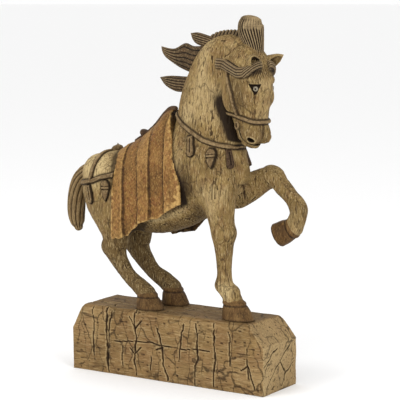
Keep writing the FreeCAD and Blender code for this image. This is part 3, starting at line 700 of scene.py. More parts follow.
def body_marks(co, normals, depth=1.0):
    """Chisel facets, gouged grain and short upright nicks, the same wherever two pieces meet, with
    painted shadows beside the straps, the ornaments and the cloth and under the jaw, a painted
    highlight along the belly, and painted shade on the shoulder and the far hind leg.
    """
    px, py, pz = co.T
    facets = noise(co, (9, 9, 14), 1) * 0.28 + noise(co, (4.5, 4.5, 8), 2) * 0.16
    grain = noise(co, (1.7, 1.7, 11), 3) * 0.16
    nicks = smoothstep(noise(co, (2.0, 2.0, 8.5), 4), 0.42, 0.72) * 0.75
    patches = smoothstep(noise(co, (22, 22, 26), 5), -0.25, 0.35)
    ornaments = [hanging_outline(*spec) for spec in HANGING.values()]
    # painted shadow beside the straps and the ornaments
    painted_shade = shadow_beside(px, pz, (COLLAR, CRUPPER, HIP_STRAP), ornaments, 2.4)
    cloth = np.where(
        py < 0, outline_distance(px, pz, RIGHT_CLOTH), outline_distance(px, pz, LEFT_CLOTH)
    )
    # painted shadow along the edge of the cloth
    cloth_edge_shadow = (1 - smoothstep(cloth, 0.0, 4.5)) * (pz > 165)
    # painted shadow cast by the cloth's front edge onto the shoulder
    cloth_cast_shadow = fade(px, pz, (25, 226), (11, 28))
    # painted shadow on the neck under the jaw
    jaw_shadow = 1 - smoothstep(HEAD.field(*head_from_world(co).T), 5.0, 16.0)
    jaw_shadow = jaw_shadow * smoothstep(pz, 345, 318) * smoothstep(pz, 262, 285)
    arrow = np.minimum.reduce([line_distance(px, pz, stroke)[0] for stroke in ARROW])
    arrow_cut = (1 - smoothstep(arrow, 0.5, 1.5)) * (py < 0)
    mid_body = smoothstep(np.abs(px), 42, 25)
    # a painted highlight along the lower curve of the belly
    belly_highlight = np.exp(-(((normals[:, 2] + 0.5) / 0.14) ** 2)) * mid_body * smoothstep(pz, 158, 166)
    underside = smoothstep(normals[:, 2], 0.0, -0.3) * mid_body
    crack = (
        0.85 * painted_shade + 0.8 * cloth_edge_shadow + 0.85 * cloth_cast_shadow + 1.9 * jaw_shadow + 0.4 * arrow_cut
        - 0.5 * belly_highlight + 0.35 * nicks * patches
    )
    rump = fade(px, pz, (-104, 248), (24, 20))
    side_of_neck = fade(px, pz, (22, 345), (24, 42))
    # painted shade on the shoulder in front of the cloth
    shoulder = fade(px, pz, (32, 246), (15, 40))
    fetlock = fade(px, pz, (72, 111), (13, 14))
    hind = smoothstep(pz, 195, 150) * (px < 0)
    fore = smoothstep(pz, 185, 140) * (px > 0) * (px < 100)
    # painted shade on the far hind leg
    far_hind_shade = smoothstep(py, -5, 12) * hind
    tone = (
        1.3 * rump + 0.4 * side_of_neck + 1.5 * belly_highlight + 1.1 * fetlock - 0.7 * shoulder - 1.0 * hind
        - 0.6 * far_hind_shade - 0.45 * fore - 0.8 * underside + 0.6 * noise(co, (20, 20, 28), 6)
    )
    push = (facets + grain - nicks * patches) * depth - 0.5 * painted_shade - 0.45 * arrow_cut
    return push, {"crack": np.clip(crack, 0, 1), "tone": tone}


# ------------------------------------------------------------------- body pieces

def seam_between(own, parent, radius):
    """How far out along the fillet between two forms each point is, 1 at its end."""
    return lambda co: (own.field(*co.T) - parent.field(*co.T)) / radius


def child(own, parent, radius):
    """own with a fillet onto parent, cut off where the fillet has faded into it."""
    return overlap(union(own, parent, radius), own - parent - 0.985 * radius)


def fleshed(field, x, y, z):
    """A field that holds the trunk, with the breast and loins added."""
    side = np.abs(y)
    return union(union(field, ball(x, side, z, *LOIN), 14), ball(x, side, z, *BREAST), 10)


LEGS = (
    # name, form, two corners of its block, muscles as (centre, radii, lean, fillet), hoof's top
    (
        "right_foreleg", RIGHT_FORELEG, (26, -42, 96), (92, 6, 262), [
            ((72, -20, 178), (12, 12.5, 11), 0, 5),
            ((66, -18, 118), (8, 9, 8), 0, 4),
            ((78, -17, 111.5), (9.5, 10.5, 7.5), 0, 4),
        ], 100,
    ),
    ("left_forearm", LEFT_FOREARM, (20, -4, 192), (124, 42, 262), [], None),
    (
        "right_hind_leg", RIGHT_HIND, (-126, -42, 92), (-22, 4, 240),
        [((-90, -21, 150), (9, 9, 11), 20, 5)], 98,
    ),
    (
        "left_hind_leg", LEFT_HIND, (-126, -4, 92), (-12, 42, 240),
        [((-86, 21, 149), (9, 9, 11), 20, 5)], 98,
    ),
)


def carve_body(name, field, place, seam=None):
    sculpt(name, field, place, BODY_PAINT, body_marks, seam=seam)


def make_body():
    """The trunk, the neck and the legs, each with a fillet onto what it grows from."""
    x, y, z, place = block((-134, -40, 160), (86, 40, 300), 1.05)
    carve_body("trunk", fleshed(TRUNK.field(x, y, z), x, y, z), place)

    x, y, z, place = block((-26, -42, 220), (98, 42, 402), 1.0)
    windpipe = ball(x, y, z, (66, 0, 300), (12, 16, 52), 8)
    neck = child(union(NECK.field(x, y, z), windpipe, 12), TRUNK.field(x, y, z), NECK_FILLET)
    carve_body("neck", neck, place, seam_between(NECK, TRUNK, NECK_FILLET))

    for name, form, low, high, muscles, hoof_top in LEGS:
        x, y, z, place = block(low, high, 0.9)
        leg = form.field(x, y, z)
        for centre, radii, lean, fillet in muscles:
            leg = union(leg, ball(x, y, z, centre, radii, lean), fillet)
        leg = child(leg, TRUNK.field(x, y, z), LEG_FILLET)
        if hoof_top:
            leg = overlap(leg, hoof_top - 2 - z, 1.0)
        carve_body(name, leg, place, seam_between(form, TRUNK, LEG_FILLET))

    x, y, z, place = block((92, 6, 176), (160, 38, 258), 0.9)
    cannon = union(LEFT_CANNON.field(x, y, z), ball(x, y, z, (109, 22, 241), (14, 12.5, 12)), 4)
    cannon = union(cannon, ball(x, y, z, (143.5, 22, 205), (8, 10, 9)), 4)
    past_hoof = (x - 137) * 0.89 + (z - 185) * 0.46  # beyond the sawn end that the hoof sits on
    cannon = child(overlap(cannon, -past_hoof - 1.0, 1.0), LEFT_FOREARM.field(x, y, z), 5)
    carve_body("left_fore_cannon", cannon, place, seam_between(LEFT_CANNON, LEFT_FOREARM, 5))


make_body()


# ------------------------------------------------------------------------- head

SOCKET = [(-8.0, 348.6), (5.8, 348.0), (1.0, 337.6), (-1.4, 336.8)]  # (forward from the eye, z)
SOCKET_AT = (119.6, 12.6)  # the middle of the socket, and which way it faces, both as (x, side)
SOCKET_OUT = (0.62, 0.78)
NOSTRIL = (113.5, 13.5, 286.5), (3.8, 4.4, 2.3), -25
MOUTH = [(94, 301), (96.5, 292), (101, 284.5), (109, 280), (121, 279)]
EAR_HOLLOW = (
    [(110, 13, 366.5), (115, 17.5, 370.5), (119, 23, 374.5), (121, 28, 378)],
    [5.4, 6.2, 4.2, 0.4],
)
EYE = (119.1, 12.1, 343.2)
EYE_RADIUS = 2.9


def head_field(x, y, z):
    """The horse's face, in the head's own frame, the same on both sides."""
    side = np.abs(y)
    f = union(HEAD.field(x, y, z), ball(x, side, z, *CHEEK), 3)
    brow = strand(
        x, side, z, [(103, 19.5, 351), (111, 18, 353.5), (118.5, 13, 352.5), (122, 6, 349)],
        [1.6, 3.0, 3.0, 1.6],
    )
    f = union(f, brow, 2.5)
    f = union(f, ball(x, side, z, *MUZZLE), 3)
    f = union(f, ball(x, y, z, (98, 0, 283), (9, 11, 7)), 2)
    f = union(f, ball(x, side, z, (111, 13.5, 333), (7, 7.5, 10)), 4)
    front, out = socket_frame(x, side)
    socket = overlap(outline_distance(front, z, SOCKET), -(out + 2.4), 1.0)
    f = carve_off(f, socket, 0.8)
    tear = [(119.5, 13.5, 337), (119.7, 13.5, 328), (118, 13, 316)]
    f = carve_off(f, strand(x, side, z, tear, [1.9, 1.5, 0.4]), 1.6)
    philtrum = [(122, 0, 306), (121, 0, 293), (118, 0, 281)]
    f = carve_off(f, strand(x, side, z, philtrum, [3.0, 3.2, 2.4]), 1.2)
    nostril = ball(x, side, z, *NOSTRIL)
    rim = np.hypot(nostril - 1.2, f) - 1.2
    f = union(f, rim, 1.0)
    f = carve_off(f, nostril, 0.5)
    mouth, _ = line_distance(x, z, MOUTH)
    return carve_off(f, mouth - 0.8, 0.8)


def socket_frame(x, side):
    """Forward along the face and outwards from it, both from the centre of the eye."""
    dx, dy = x - SOCKET_AT[0], side - SOCKET_AT[1]
    return dx * SOCKET_OUT[1] - dy * SOCKET_OUT[0], dx * SOCKET_OUT[0] + dy * SOCKET_OUT[1]


def head_marks(co, normals):
    """The body's marks, with the face painted: dark sockets, nostrils, mouth and cheeks, and painted
    shadow beside the straps and under the lock.
    """
    px, py, pz = co.T
    side = np.abs(py)
    push, marks = body_marks(head_to_world(co), normals, 0.55)
    front, out = socket_frame(px, side)
    in_socket = smoothstep(outline_distance(front, pz, SOCKET), 0.9, -0.4)
    in_socket = in_socket * smoothstep(out, 1.2, -0.6) * (out > -8)
    in_nostril = smoothstep(ball(px, side, pz, *NOSTRIL), 1.1, 0.2)
    in_mouth = smoothstep(line_distance(px, pz, MOUTH)[0], 2.0, 0.9)
    # painted shadow beside the cheek straps and the noseband
    painted_shade = shadow_beside(px, pz, (CHEEK_STRAP, NOSEBAND), (), 2.8)
    below_lock = pz < np.interp(px, *np.array(FORELOCK, float).T)
    lock_shadow = smoothstep(line_distance(px, pz, FORELOCK)[0], 9, 5.5) * below_lock
    lock_shadow = lock_shadow * smoothstep(side, 3, 8)
    philtrum = smoothstep(side, 2.6, 1.2) * smoothstep(px, 113, 116) * (pz < 306)
    crown = smoothstep(px, 106, 113) * smoothstep(pz, 352, 358)
    strands = strand_wave(2.7 * (side + 0.55 * (pz - 352)))
    crack = in_socket + in_nostril + 0.8 * in_mouth + painted_shade + 0.8 * lock_shadow + 0.45 * philtrum
    crack = np.clip(crack, 0, 1) + 0.6 * crown * smoothstep(1 - strands, 0.4, 0.8)
    marks["crack"] = np.clip(crack, 0, 1)
    cheek = fade(px, pz, (97, 336), (15, 20), 4) * smoothstep(side, 13, 17)
    pale = smoothstep(px, 112, 118) * smoothstep(side, 14, 8) * (pz > 309)
    muzzle = smoothstep(pz, 306, 298)
    marks["tone"] = 0.3 * noise(co, 14, 8) - 0.9 * cheek + 0.32 * pale - 0.3 * crown - 0.4 * muzzle
    return push - 0.5 * crown * (1 - strands) - 0.4 * painted_shade, marks


def make_ear(name, sign, inward):
    """One ear, moved that far towards the middle of the head, with its hollow facing outwards."""
    low = (94, min(sign * 6, sign * 32), 356)
    high = (128, max(sign * 6, sign * 34), 388)
    x, y, z, place = block(low, high, 0.5)
    forward = 0.6 * inward
    shell = strand(
        x - forward, y * sign + inward, z,
        [(104, 11, 367), (110.5, 17, 371.5), (115, 23, 375.5), (119, 29.5, 379.5)],
        [7.0, 8.2, 5.6, 0.7],
    )
    hollow = strand(x - forward, y * sign + inward, z, *EAR_HOLLOW)

    def ear_marks(co, normals):
        px, py, pz = co.T
        inside = strand(px - forward, py * sign + inward, pz, *EAR_HOLLOW)
        # painted shade in the ear's hollow
        dark = smoothstep(inside, 0.9, 0.1) * smoothstep(py * sign, 27, 16)
        return noise(co, 4, 9) * 0.15, {"crack": 0.9 * dark, "tone": 0.2 - 0.6 * dark}

    ear = carve_off(shell, hollow, 0.6)
    sculpt(name, ear, place, BODY_PAINT, ear_marks, turn=head_to_world)


def make_eye(name, sign):
    """A bead with a dark pupil and a ring round it, looking out and forward."""
    x, y, z, place = block((113, sign * 12.2 - 5, 338), (125, sign * 12.2 + 5, 348), 0.35)
    middle = np.array([EYE[0], sign * EYE[1], EYE[2]])
    bead = ball(x, y, z, middle, (EYE_RADIUS,) * 3)
    look = np.array([0.66, sign * 0.75, -0.05])

    def eye_marks(co, normals):
        off = np.linalg.norm((co - middle) / EYE_RADIUS - look, axis=1)
        pupil = smoothstep(off, 0.55, 0.4)
        ring = smoothstep(np.abs(off - 0.95), 0.18, 0.05)
        return -0.35 * pupil, {"crack": np.clip(pupil + 0.5 * ring, 0, 1), "tone": 0 * pupil}

    sculpt(name, bead, place, EYE_PAINT, eye_marks, turn=head_to_world)


def make_head():
    x, y, z, place = block((56, -27, 270), (130, 27, 402), 0.8)
    skull = head_field(x, y, z)
    neck = neck_behind_head(x, y, z)
    soft = 1.5 + 9 * smoothstep(z, 350, 368)
    merged = overlap(union(skull, neck, soft), skull - neck - 0.95 * soft)
    sculpt("head", merged, place, BODY_PAINT, head_marks, turn=head_to_world)
    for side, sign, inward in (("right", -1, 6.0), ("left", 1, 0.0)):
        make_ear(f"{side}_ear", sign, inward)
        make_eye(f"{side}_eye", sign)


EYE_PAINT = worn_paint(
    "eye_bead", (0.27, 0.235, 0.17), (0.4, 0.35, 0.27),
    (0.03, 0.018, 0.01), (0.15, 0.12, 0.08),
    grain=(1, 1, 1), dashes=0.1, rough=0.4, bump=0.1, mottling=3.0,
)
make_head()


# ------------------------------------------------------------------- hair and tail

TOPKNOT = Form([
    (105, -7, 366, 14, 16), (103, -7, 379, 18, 19), (99, -5.5, 393, 25, 22), (95.5, -4.5, 404, 31, 23),
    (94, -4, 412, 31.5, 20), (94.5, -4, 418.4, 27, 10.5),
])


def around(form, co):
    """The angle round a form's spine at each point."""
    s = form.section_at(co[:, 0], co[:, 2])
    return np.arctan2((co[:, 1] - s["cy"]) / s["b"], s["u"] / s["a"])


def topknot_marks(co, normals):
    """Upright strands, smoothed away into a rubbed cap on top."""
    px, py, pz = co.T
    wander = 0.5 * noise(co, (12, 12, 26), 11)
    wave = strand_wave(26 * (around(TOPKNOT, co) + 0.012 * (pz - 390)) + 3 * wander)
    cap = smoothstep(pz + 3 * noise(co, 6, 12) - 14 * smoothstep(px, 93, 84), 406, 412)
    back = smoothstep(px, 94, 82)
    deep = (1 - 0.7 * cap) * (1 - wave)
    push = -1.7 * deep + 0.3 * noise(co, 4, 13) * cap
    rubbed = 0.7 * smoothstep(wave, 0.7, 1) * (1 - 0.6 * back) - 0.4
    tone = 0.75 * cap * (1 - back) + (1 - cap) * rubbed + 0.4 * noise(co, 5, 15)
    # painted shade in the grooves between the strands
    return push, {"crack": 0.95 * smoothstep(deep, 0.2, 0.55), "tone": tone}


def tail_marks(co, normals):
    """Long strands, with finer ones cut into them."""
    angle = around(TAIL, co) + 0.010 * (co[:, 2] - 200)
    wander = noise(co, (16, 16, 40), 14)
    deep = 1 - strand_wave(11 * angle + 1.4 * wander)
    fine = 1 - strand_wave(37 * angle + 2.4 * wander)
    # painted shade in the grooves between the strands
    crack = 0.9 * smoothstep(deep, 0.45, 0.85) + 0.3 * smoothstep(fine, 0.5, 0.9)
    push = -1.3 * deep - 0.3 * fine
    return push, {"crack": np.clip(crack, 0, 1), "tone": 0.15 - 0.4 * deep}


TUFT_THICKNESS = 12


def tuft(x, y, z, top, bottom):
    """A lock of hair between two (x, z) curves, oval across, and how far up it each spot is."""
    top, bottom = curve(np.array(top, float), 40), curve(np.array(bottom, float), 40)
    top, bottom = top[np.argsort(top[:, 0])], bottom[np.argsort(bottom[:, 0])]
    high = np.interp(x, top[:, 0], top[:, 1])
    low = np.interp(x, bottom[:, 0], bottom[:, 1])
    first, last = max(top[0, 0], bottom[0, 0]), min(top[-1, 0], bottom[-1, 0])
    reach = np.clip((x - first) / (last - first), 0, 1)
    tall = np.maximum((high - low) / 2, 0.4)
    wide = np.maximum(TUFT_THICKNESS / 2 * reach ** 0.45, 0.5)
    off = z - (high + low) / 2
    f = oval_field(((off, tall), (y, wide)))
    return np.maximum(np.maximum(f, first - x), x - last), off / tall


TUFTS = {
    "mane_tuft_lower": (
        [(-31, 351), (-18, 353), (1, 353), (20, 352)],
        [(-31, 351), (-22, 341), (-9, 335), (3, 334), (20, 330)],
    ),
    "mane_tuft_middle": (
        [(-29, 387), (-11, 384.5), (5, 391), (17, 388), (36, 389)],
        [(-29, 387), (-26, 378), (-18, 371), (1, 361), (36, 350)],
    ),
    "mane_tuft_upper": (
        [(12, 402.5), (22, 403.5), (33, 401), (46, 397)],
        [(12, 402.5), (15, 395), (23, 389), (46, 384)],
    ),
}


CREST_TOP = [(32, 395), (45, 403.5), (60, 407), (80, 407.5)]
CREST_BOTTOM = [(32, 376), (56, 384), (80, 388)]


def crest_teeth(x, z):
    """1 along each tooth of the mane's crest, 0 in the cut between two."""
    return np.abs(np.sin((x - 0.35 * (z - 395)) / 4.6 * math.pi))


def crest_field(x, y, z):
    """The mane clipped into a standing, toothed strip along the top of the neck."""
    cut = (1 - crest_teeth(x, z)) ** 2
    high = np.interp(x, *curve(CREST_TOP, 30).T)
    low = np.interp(x, *np.array(CREST_BOTTOM, float).T)
    wide = 4.4 * np.sqrt(np.clip((high + 1 - z) / 14, 0.01, 1)) - 1.6 * cut
    strip = np.maximum(overlap(z - high + 2.2 * cut, np.abs(y) - wide, 1.0), low - z)
    return np.maximum(np.maximum(strip, 33 - x), x - 79)


def crest_marks(co, normals):
    # painted shade in the cuts between the teeth
    dark = smoothstep(crest_teeth(co[:, 0], co[:, 2]), 0.65, 0.2)
    return 0.1 * noise(co, 3, 17), {"crack": dark, "tone": 0.15 - 0.4 * dark}


def forelock_height(px, pz):
    """How proud the swept lock stands, and the wave of its strands."""
    middle = np.interp(px, *np.array(FORELOCK, float).T)
    up = (pz - middle) / 6.3
    curl = smoothstep(px, 100, 112)
    wave = strand_wave(13 * (up - 0.5 * curl * smoothstep(px, 104, 122)) + 0.5 * np.sin(px / 11))
    dome = np.sqrt(np.clip(1 - up**2, 0, 1))
    ends = smoothstep(px, 59, 64)
    inside = np.abs(up) < 1
    height = (1.4 + 2.8 * dome) * ends * inside - 1.1 * (1 - wave)
    return height - 4 * ~inside - 3 * (1 - ends), wave


def forelock_marks(co, normals):
    _, wave = forelock_height(co[:, 0], co[:, 2])
    # painted shade between the strands
    dark = smoothstep(1 - wave, 0.35, 0.75)
    return 0.1 * noise(co, (12, 3, 3), 18), {"crack": 0.9 * dark, "tone": 0.5 * wave - 0.15}


def carve_hair(name, field, place, surface, paint=HAIR_PAINT, turn=None):
    sculpt(name, field, place, paint, surface, turn=turn)


def make_hair():
    """The topknot, the tail, the mane, and the lock that sweeps back over each side of the brow."""
    x, y, z, place = block((76, -20, 362), (112, 12, 424), 0.6)
    carve_hair("topknot", TOPKNOT.field(x, y, z), place, topknot_marks)

    x, y, z, place = block((-166, -13, 158), (-108, 13, 248), 0.7)
    carve_hair("tail", TAIL.field(x, y, z), place, tail_marks, TAIL_PAINT)

    for name, (top, bottom) in TUFTS.items():
        xs, zs = zip(*top, *bottom)
        x, y, z, place = block((min(xs), -7, min(zs)), (max(xs), 7, max(zs)), 0.55)

        def tuft_marks(co, normals, top=top, bottom=bottom):
            _, up = tuft(*co.T, top, bottom)
            wave = strand_wave(17 * up + 1.4 * noise(co, 14, 16))
            push = -1.0 * (1 - wave) * smoothstep(np.abs(up), 1.15, 0.9)
            # painted shade in the grooves between the strands
            return push, {"crack": 0.9 * smoothstep(1 - wave, 0.35, 0.75), "tone": 0.45 * wave - 0.5}

        carve_hair(name, tuft(x, y, z, top, bottom)[0], place, tuft_marks)

    x, y, z, place = block((32, -5, 372), (80, 5, 409), 0.55)
    carve_hair("mane_crest", crest_field(x, y, z), place, crest_marks)

    x, y, z, place = block((54, -30, 352), (132, 30, 380), 0.6)
    wood = np.minimum(HEAD.field(x, y, z), neck_behind_head(x, y, z) + 1.6)
    px, pz = side_view(x, z)
    height = forelock_height(px, pz)[0][:, None, :]
    height = height - 6 * smoothstep(np.abs(y), 6.5, 3)  # the two locks part in the middle
    lock = np.maximum(wood - height, -(wood + 1.5))
    carve_hair("forelock", lock, place, forelock_marks, turn=head_to_world)


make_hair()


# ---------------------------------------------------------------------- harness

STRAP_RIM = 0.4  # how proud a strap is at its very edge
BURIED = 1.2  # how deep the straps and ornaments reach into the wood


def mound(distance, half, high):
    """A strap's rounded section: its height over the wood at that distance from its middle."""
    inside = np.clip(1 - (distance / half) ** 2, 0, 1)
    rounded = STRAP_RIM + (high - STRAP_RIM) * np.sqrt(inside)
    return np.where(distance < half, rounded, STRAP_RIM - 1.5 * (distance - half))


def body_skin(x, y, z):
    skin = union(TRUNK.field(x, y, z), NECK.field(x, y, z), NECK_FILLET)
    for form in (RIGHT_FORELEG, LEFT_FOREARM, RIGHT_HIND, LEFT_HIND):
        skin = union(skin, form.field(x, y, z), LEG_FILLET)
    return fleshed(skin, x, y, z)


def head_skin(x, y, z):
    side = np.abs(y)
    skin = union(HEAD.field(x, y, z), ball(x, side, z, *CHEEK), 3)
    return union(skin, ball(x, side, z, *MUZZLE), 3)


def carve_harness(name, field, place, surface, paint=HARNESS_PAINT, turn=None):
    sculpt(name, field, place, paint, surface, turn=turn)


def relief(name, low, high, step, height, surface, on_head=False, clear_of=None):
    """A shell that follows the wood and stands height(px, pz) proud of it.

    clear_of is an outline that it stops at.
    """
    x, y, z, place = block(low, high, step)
    skin = head_skin(x, y, z) if on_head else body_skin(x, y, z)
    px, pz = side_view(x, z)
    f = np.maximum(skin - height(px, pz)[:, None, :], -(skin + BURIED))
    if clear_of:
        f = np.maximum(f, -outline_distance(x, z, clear_of))
    carve_harness(name, f, place, surface, turn=head_to_world if on_head else None)


def strap_marks(co, normals, straps=()):
    """Painted light on the upper faces and a painted highlight along the middle of each strap, painted
    shade on the under faces and along each rim.
    """
    # painted light on the faces that look up
    tone = 0.35 * noise(co, 7, 21) + 0.3 * smoothstep(normals[:, 2], 0.2, 0.8)
    # painted shade on the faces that look down
    dark = 0.7 * smoothstep(normals[:, 2], -0.25, -0.8)
    if straps:
        off = np.minimum.reduce([
            line_distance(co[:, 0], co[:, 2], course)[0] / half for course, half, _ in straps
        ])
        # painted shade along each rim and a painted highlight along the middle
        dark = np.maximum(dark, 0.75 * smoothstep(off, 0.72, 0.98))
        tone = tone + 0.25 * smoothstep(off, 0.5, 0.1)
    return 0.16 * noise(co, 2.6, 22), {"crack": dark, "tone": tone}


def pendant_marks(co, normals):
    tone = 0.3 * noise(co, 6, 23) - 0.35
    return 0.14 * noise(co, 2.4, 24), {"crack": 0 * tone, "tone": tone}


def outlined(outline):
    """Marks for an ornament, with a dark line just inside its edge and paler within."""
    def marks(co, normals):
        inside = -outline_distance(co[:, 0], co[:, 2], outline)
        push, made = pendant_marks(co, normals)
        return push, {"crack": 0.9 * smoothstep(inside, 1.2, 0.3), "tone": made["tone"] + 0.5}

    return marks


def pendant_height(top, bottom, width, acorn):
    """The height over the wood of a tag with a slot down it, or of a drop carved as an acorn."""
    outline = hanging_outline(top, bottom, width, acorn)
    top, bottom = np.array(top, float), np.array(bottom, float)
    length = np.hypot(*(bottom - top))
    down = (bottom - top) / length

    def height(px, pz):
        inside = -outline_distance(px, pz, outline)
        along = ((px - top[0]) * down[0] + (pz - top[1]) * down[1]) / length
        across = (px - top[0]) * -down[1] + (pz - top[1]) * down[0]
        dome = 1.0 + 2.6 * np.sqrt(np.clip(inside / (width / 2), 0, 1))
        if acorn:
            cup_rim = smoothstep(np.abs(along - 0.45), 0.05, 0.02)
            groove = np.maximum(cup_rim, 0.6 * smoothstep(np.abs(along - 0.3), 0.035, 0.015))
        else:
            groove = smoothstep(along, 0.08, 0.16) * smoothstep(along, 0.84, 0.74)
            groove = smoothstep(np.abs(across), 1.3, 0.5) * groove
        return np.where(inside > 0, dome, 3 * inside) - 1.9 * groove * (inside > 0.4)

    return height


TAG_AT = (74, 18)  # where the breast tags hang, turned outwards by TAG_TURN
TAG_TURN = math.radians(47)
TAG = (0, 273.5), (1, 252), 9.5, False  # as the others that hang, but laid out across the tag
RING_AT = (94.5, 17.8, 301.5)  # the middle of the left ring
KNOB_AT = (-93, 0, 259)
KNOB_LEAN = math.radians(-8)
KNOB_TURNED = [
    # height up the rump ornament, radius there
    (-5, 7.6), (-1.5, 8.0), (0.8, 7.9), (1.7, 6.4), (2.4, 6.2), (3.8, 6.8), (6.0, 6.7), (7.8, 5.8),
    (9.0, 4.2), (9.8, 2.0), (10.6, 0.6), (13, 0.0),
]


def breast_tag(x, y, z, sign):
    """A tag on the breast, laid on the wood where it curves round to the front."""
    dx, dy = x - TAG_AT[0], y * sign - TAG_AT[1]
    across = dx * math.cos(TAG_TURN) - dy * math.sin(TAG_TURN)
    facing = dx * math.sin(TAG_TURN) + dy * math.cos(TAG_TURN)
    height = pendant_height(*TAG)(*np.broadcast_arrays(across, z))
    proud = 0.75 if sign < 0 else 0.4
    skin = body_skin(x, y, z)
    tag = np.maximum(np.maximum(skin - proud * height, -(skin + BURIED)), -8 - facing)
    return np.maximum(tag, -y * sign)


def bit_ring(x, y, z, sign):
    """A ring that lies flat against the cheek."""
    dx, dy, dz = x - RING_AT[0], y - sign * RING_AT[1], z - RING_AT[2]
    off = dx * -0.3 + dy * sign * 0.95
    flat = np.sqrt(np.maximum(dx**2 + dy**2 + dz**2 - off**2, 0))
    return np.hypot(flat - 3.6, off) - 1.15


def knob_field(x, y, z):
    """The turned knob on the rump, with shallow petals round it."""
    dx, dz = x - KNOB_AT[0], z - KNOB_AT[2]
    c, s = math.cos(KNOB_LEAN), math.sin(KNOB_LEAN)
    rise = dz * c + dx * s
    out = np.hypot(dx * c + dz * s, y)
    petals = 0.35 * np.cos(8 * np.arctan2(y + 0 * dx, dx + 0 * y)) * smoothstep(rise, 2.6, 5)
    radius = np.interp(rise, *np.array(KNOB_TURNED).T)
    return np.maximum((out - radius - petals) * 0.8, rise - 11.9)


def carve_straps(name, low, high, step, straps, on_head=False, clear_of=None):
    """One node's straps, as rounded bands."""
    def height(px, pz):
        return np.maximum.reduce([
            mound(line_distance(px, pz, course)[0], half, proud) for course, half, proud in straps
        ])

    def marks(co, normals):
        return strap_marks(co, normals, straps)

    relief(name, low, high, step, height, marks, on_head, clear_of)


def make_harness():
    """The straps and what hangs from them, the bit's rings and the knob on the rump."""
    carve_straps("collar_strap", (-12, -40, 270), (94, 40, 318), 0.62, (COLLAR,))
    carve_straps(
        "crupper_straps", (-140, -40, 216), (-66, 40, 276), 0.62, (CRUPPER, HIP_STRAP),
        clear_of=RIGHT_CLOTH,
    )
    for name, spec in HANGING.items():
        top, bottom, width, _ = spec
        low = (min(top[0], bottom[0]) - width, -46, bottom[1] - 3)
        high = (max(top[0], bottom[0]) + width, 46, top[1] + 3)
        relief(name, low, high, 0.5, pendant_height(*spec), outlined(hanging_outline(*spec)))
    carve_straps("cheek_straps", (74, -29, 308), (100, 29, 368), 0.5, (CHEEK_STRAP,), on_head=True)
    carve_straps("noseband", (72, -26, 296), (128, 26, 320), 0.5, (NOSEBAND,), on_head=True)

    x, y, z, place = block((62, -30, 248), (92, 30, 278), 0.55)
    tags = np.minimum(breast_tag(x, y, z, -1), breast_tag(x, y, z, 1))
    carve_harness("breast_tags", tags, place, pendant_marks, SADDLE_PAINT)

    x, y, z, place = block((86, -24, 294), (104, 24, 309), 0.42)
    rings = np.minimum(bit_ring(x, y, z, -1), bit_ring(x, y, z, 1))
    carve_harness("bit_rings", rings, place, strap_marks, turn=head_to_world)

    x, y, z, place = block((-104, -10, 250), (-82, 10, 272), 0.45)
    carve_harness("rump_ornament", knob_field(x, y, z), place, pendant_marks)


make_harness()


# ----------------------------------------------------------------- cloth and saddle

CLOTH_MIDDLE = 185  # the height of the middle of its oval sections
CLOTH = np.array([
    # x, height and width of the section
    (-92, 156, 88), (-84, 162, 88), (-60, 190, 92), (-45, 208, 94), (-30, 234, 96), (-16, 262, 96),
    (0, 262, 96), (14, 232, 94), (34, 208, 92),
], float)
PLEATS = {
    # height z: where along the body the folds fall there, from the rear edge to the front edge
    160: (-72, -53, -31, -15, 6, 28),
    205: (-69, -54.8, -32.5, -16.8, 3.9, 24),
    238: (-72, -59.7, -36.2, -19.3, 1.3, 19.5),
    265: (-82, -66, -44.7, -24.8, -2.8, 9.8),
    300: (-90, -74, -52, -33, -8, -2),
}
PLEAT_HEIGHT = (1.5, -1.2, 1.2, -1.7, 1.6)
# painted light on the raised panels and painted shade on the sunken ones
PLEAT_LIGHT_AND_SHADE = (0.2, -0.05, 0.12, -0.12, 0.08)


def pleats(px, pz):
    """Height of the pleats, their painted light and shade, and the painted shade at and beside each
    fold.
    """
    levels = sorted(PLEATS)
    folds = [np.interp(pz, levels, [PLEATS[level][i] for level in levels]) for i in range(6)]
    px = px + 0.4 * np.sin(pz / 9.0)
    height = np.full(np.shape(px), PLEAT_HEIGHT[0])
    tone = np.full(np.shape(px), PLEAT_LIGHT_AND_SHADE[0])
    fold_shade = np.zeros(np.shape(px))
    for i in range(1, 5):
        past = smoothstep(px - folds[i], -1.0, 1.0)
        height = height + (PLEAT_HEIGHT[i] - height) * past
        tone = tone + (PLEAT_LIGHT_AND_SHADE[i] - tone) * past
        sunk = (px - folds[i]) if PLEAT_HEIGHT[i] < 0 else (folds[i] - px)
        shadow = 0.55 * smoothstep(sunk, 6.5, 0.5) * (sunk > 0)
        fold_shade = np.maximum(fold_shade, np.maximum(shadow, smoothstep(np.abs(sunk), 1.3, 0.2)))
    for i in range(5):
        middle = (folds[i] + folds[i + 1]) / 2
        wide = (folds[i + 1] - folds[i]) / 2
        off = np.clip(np.abs(px - middle) / wide, 0, 1)
        height = height + 0.7 * np.sqrt(1 - off**2) * (np.abs(px - middle) < wide)
    return height, tone, fold_shade


def cloth_half_height(x):
    rows = curve(CLOTH, 80)
    return np.interp(x, rows[:, 0], rows[:, 1]) / 2


def cloth_field(x, y, z):
    """The cloth's outer face, before its pleats: ovals across the horse."""
    rows = curve(CLOTH, 80)
    wide = np.interp(x, rows[:, 0], rows[:, 2]) / 2
    return oval_field(((z - CLOTH_MIDDLE, cloth_half_height(x)), (y, wide)))


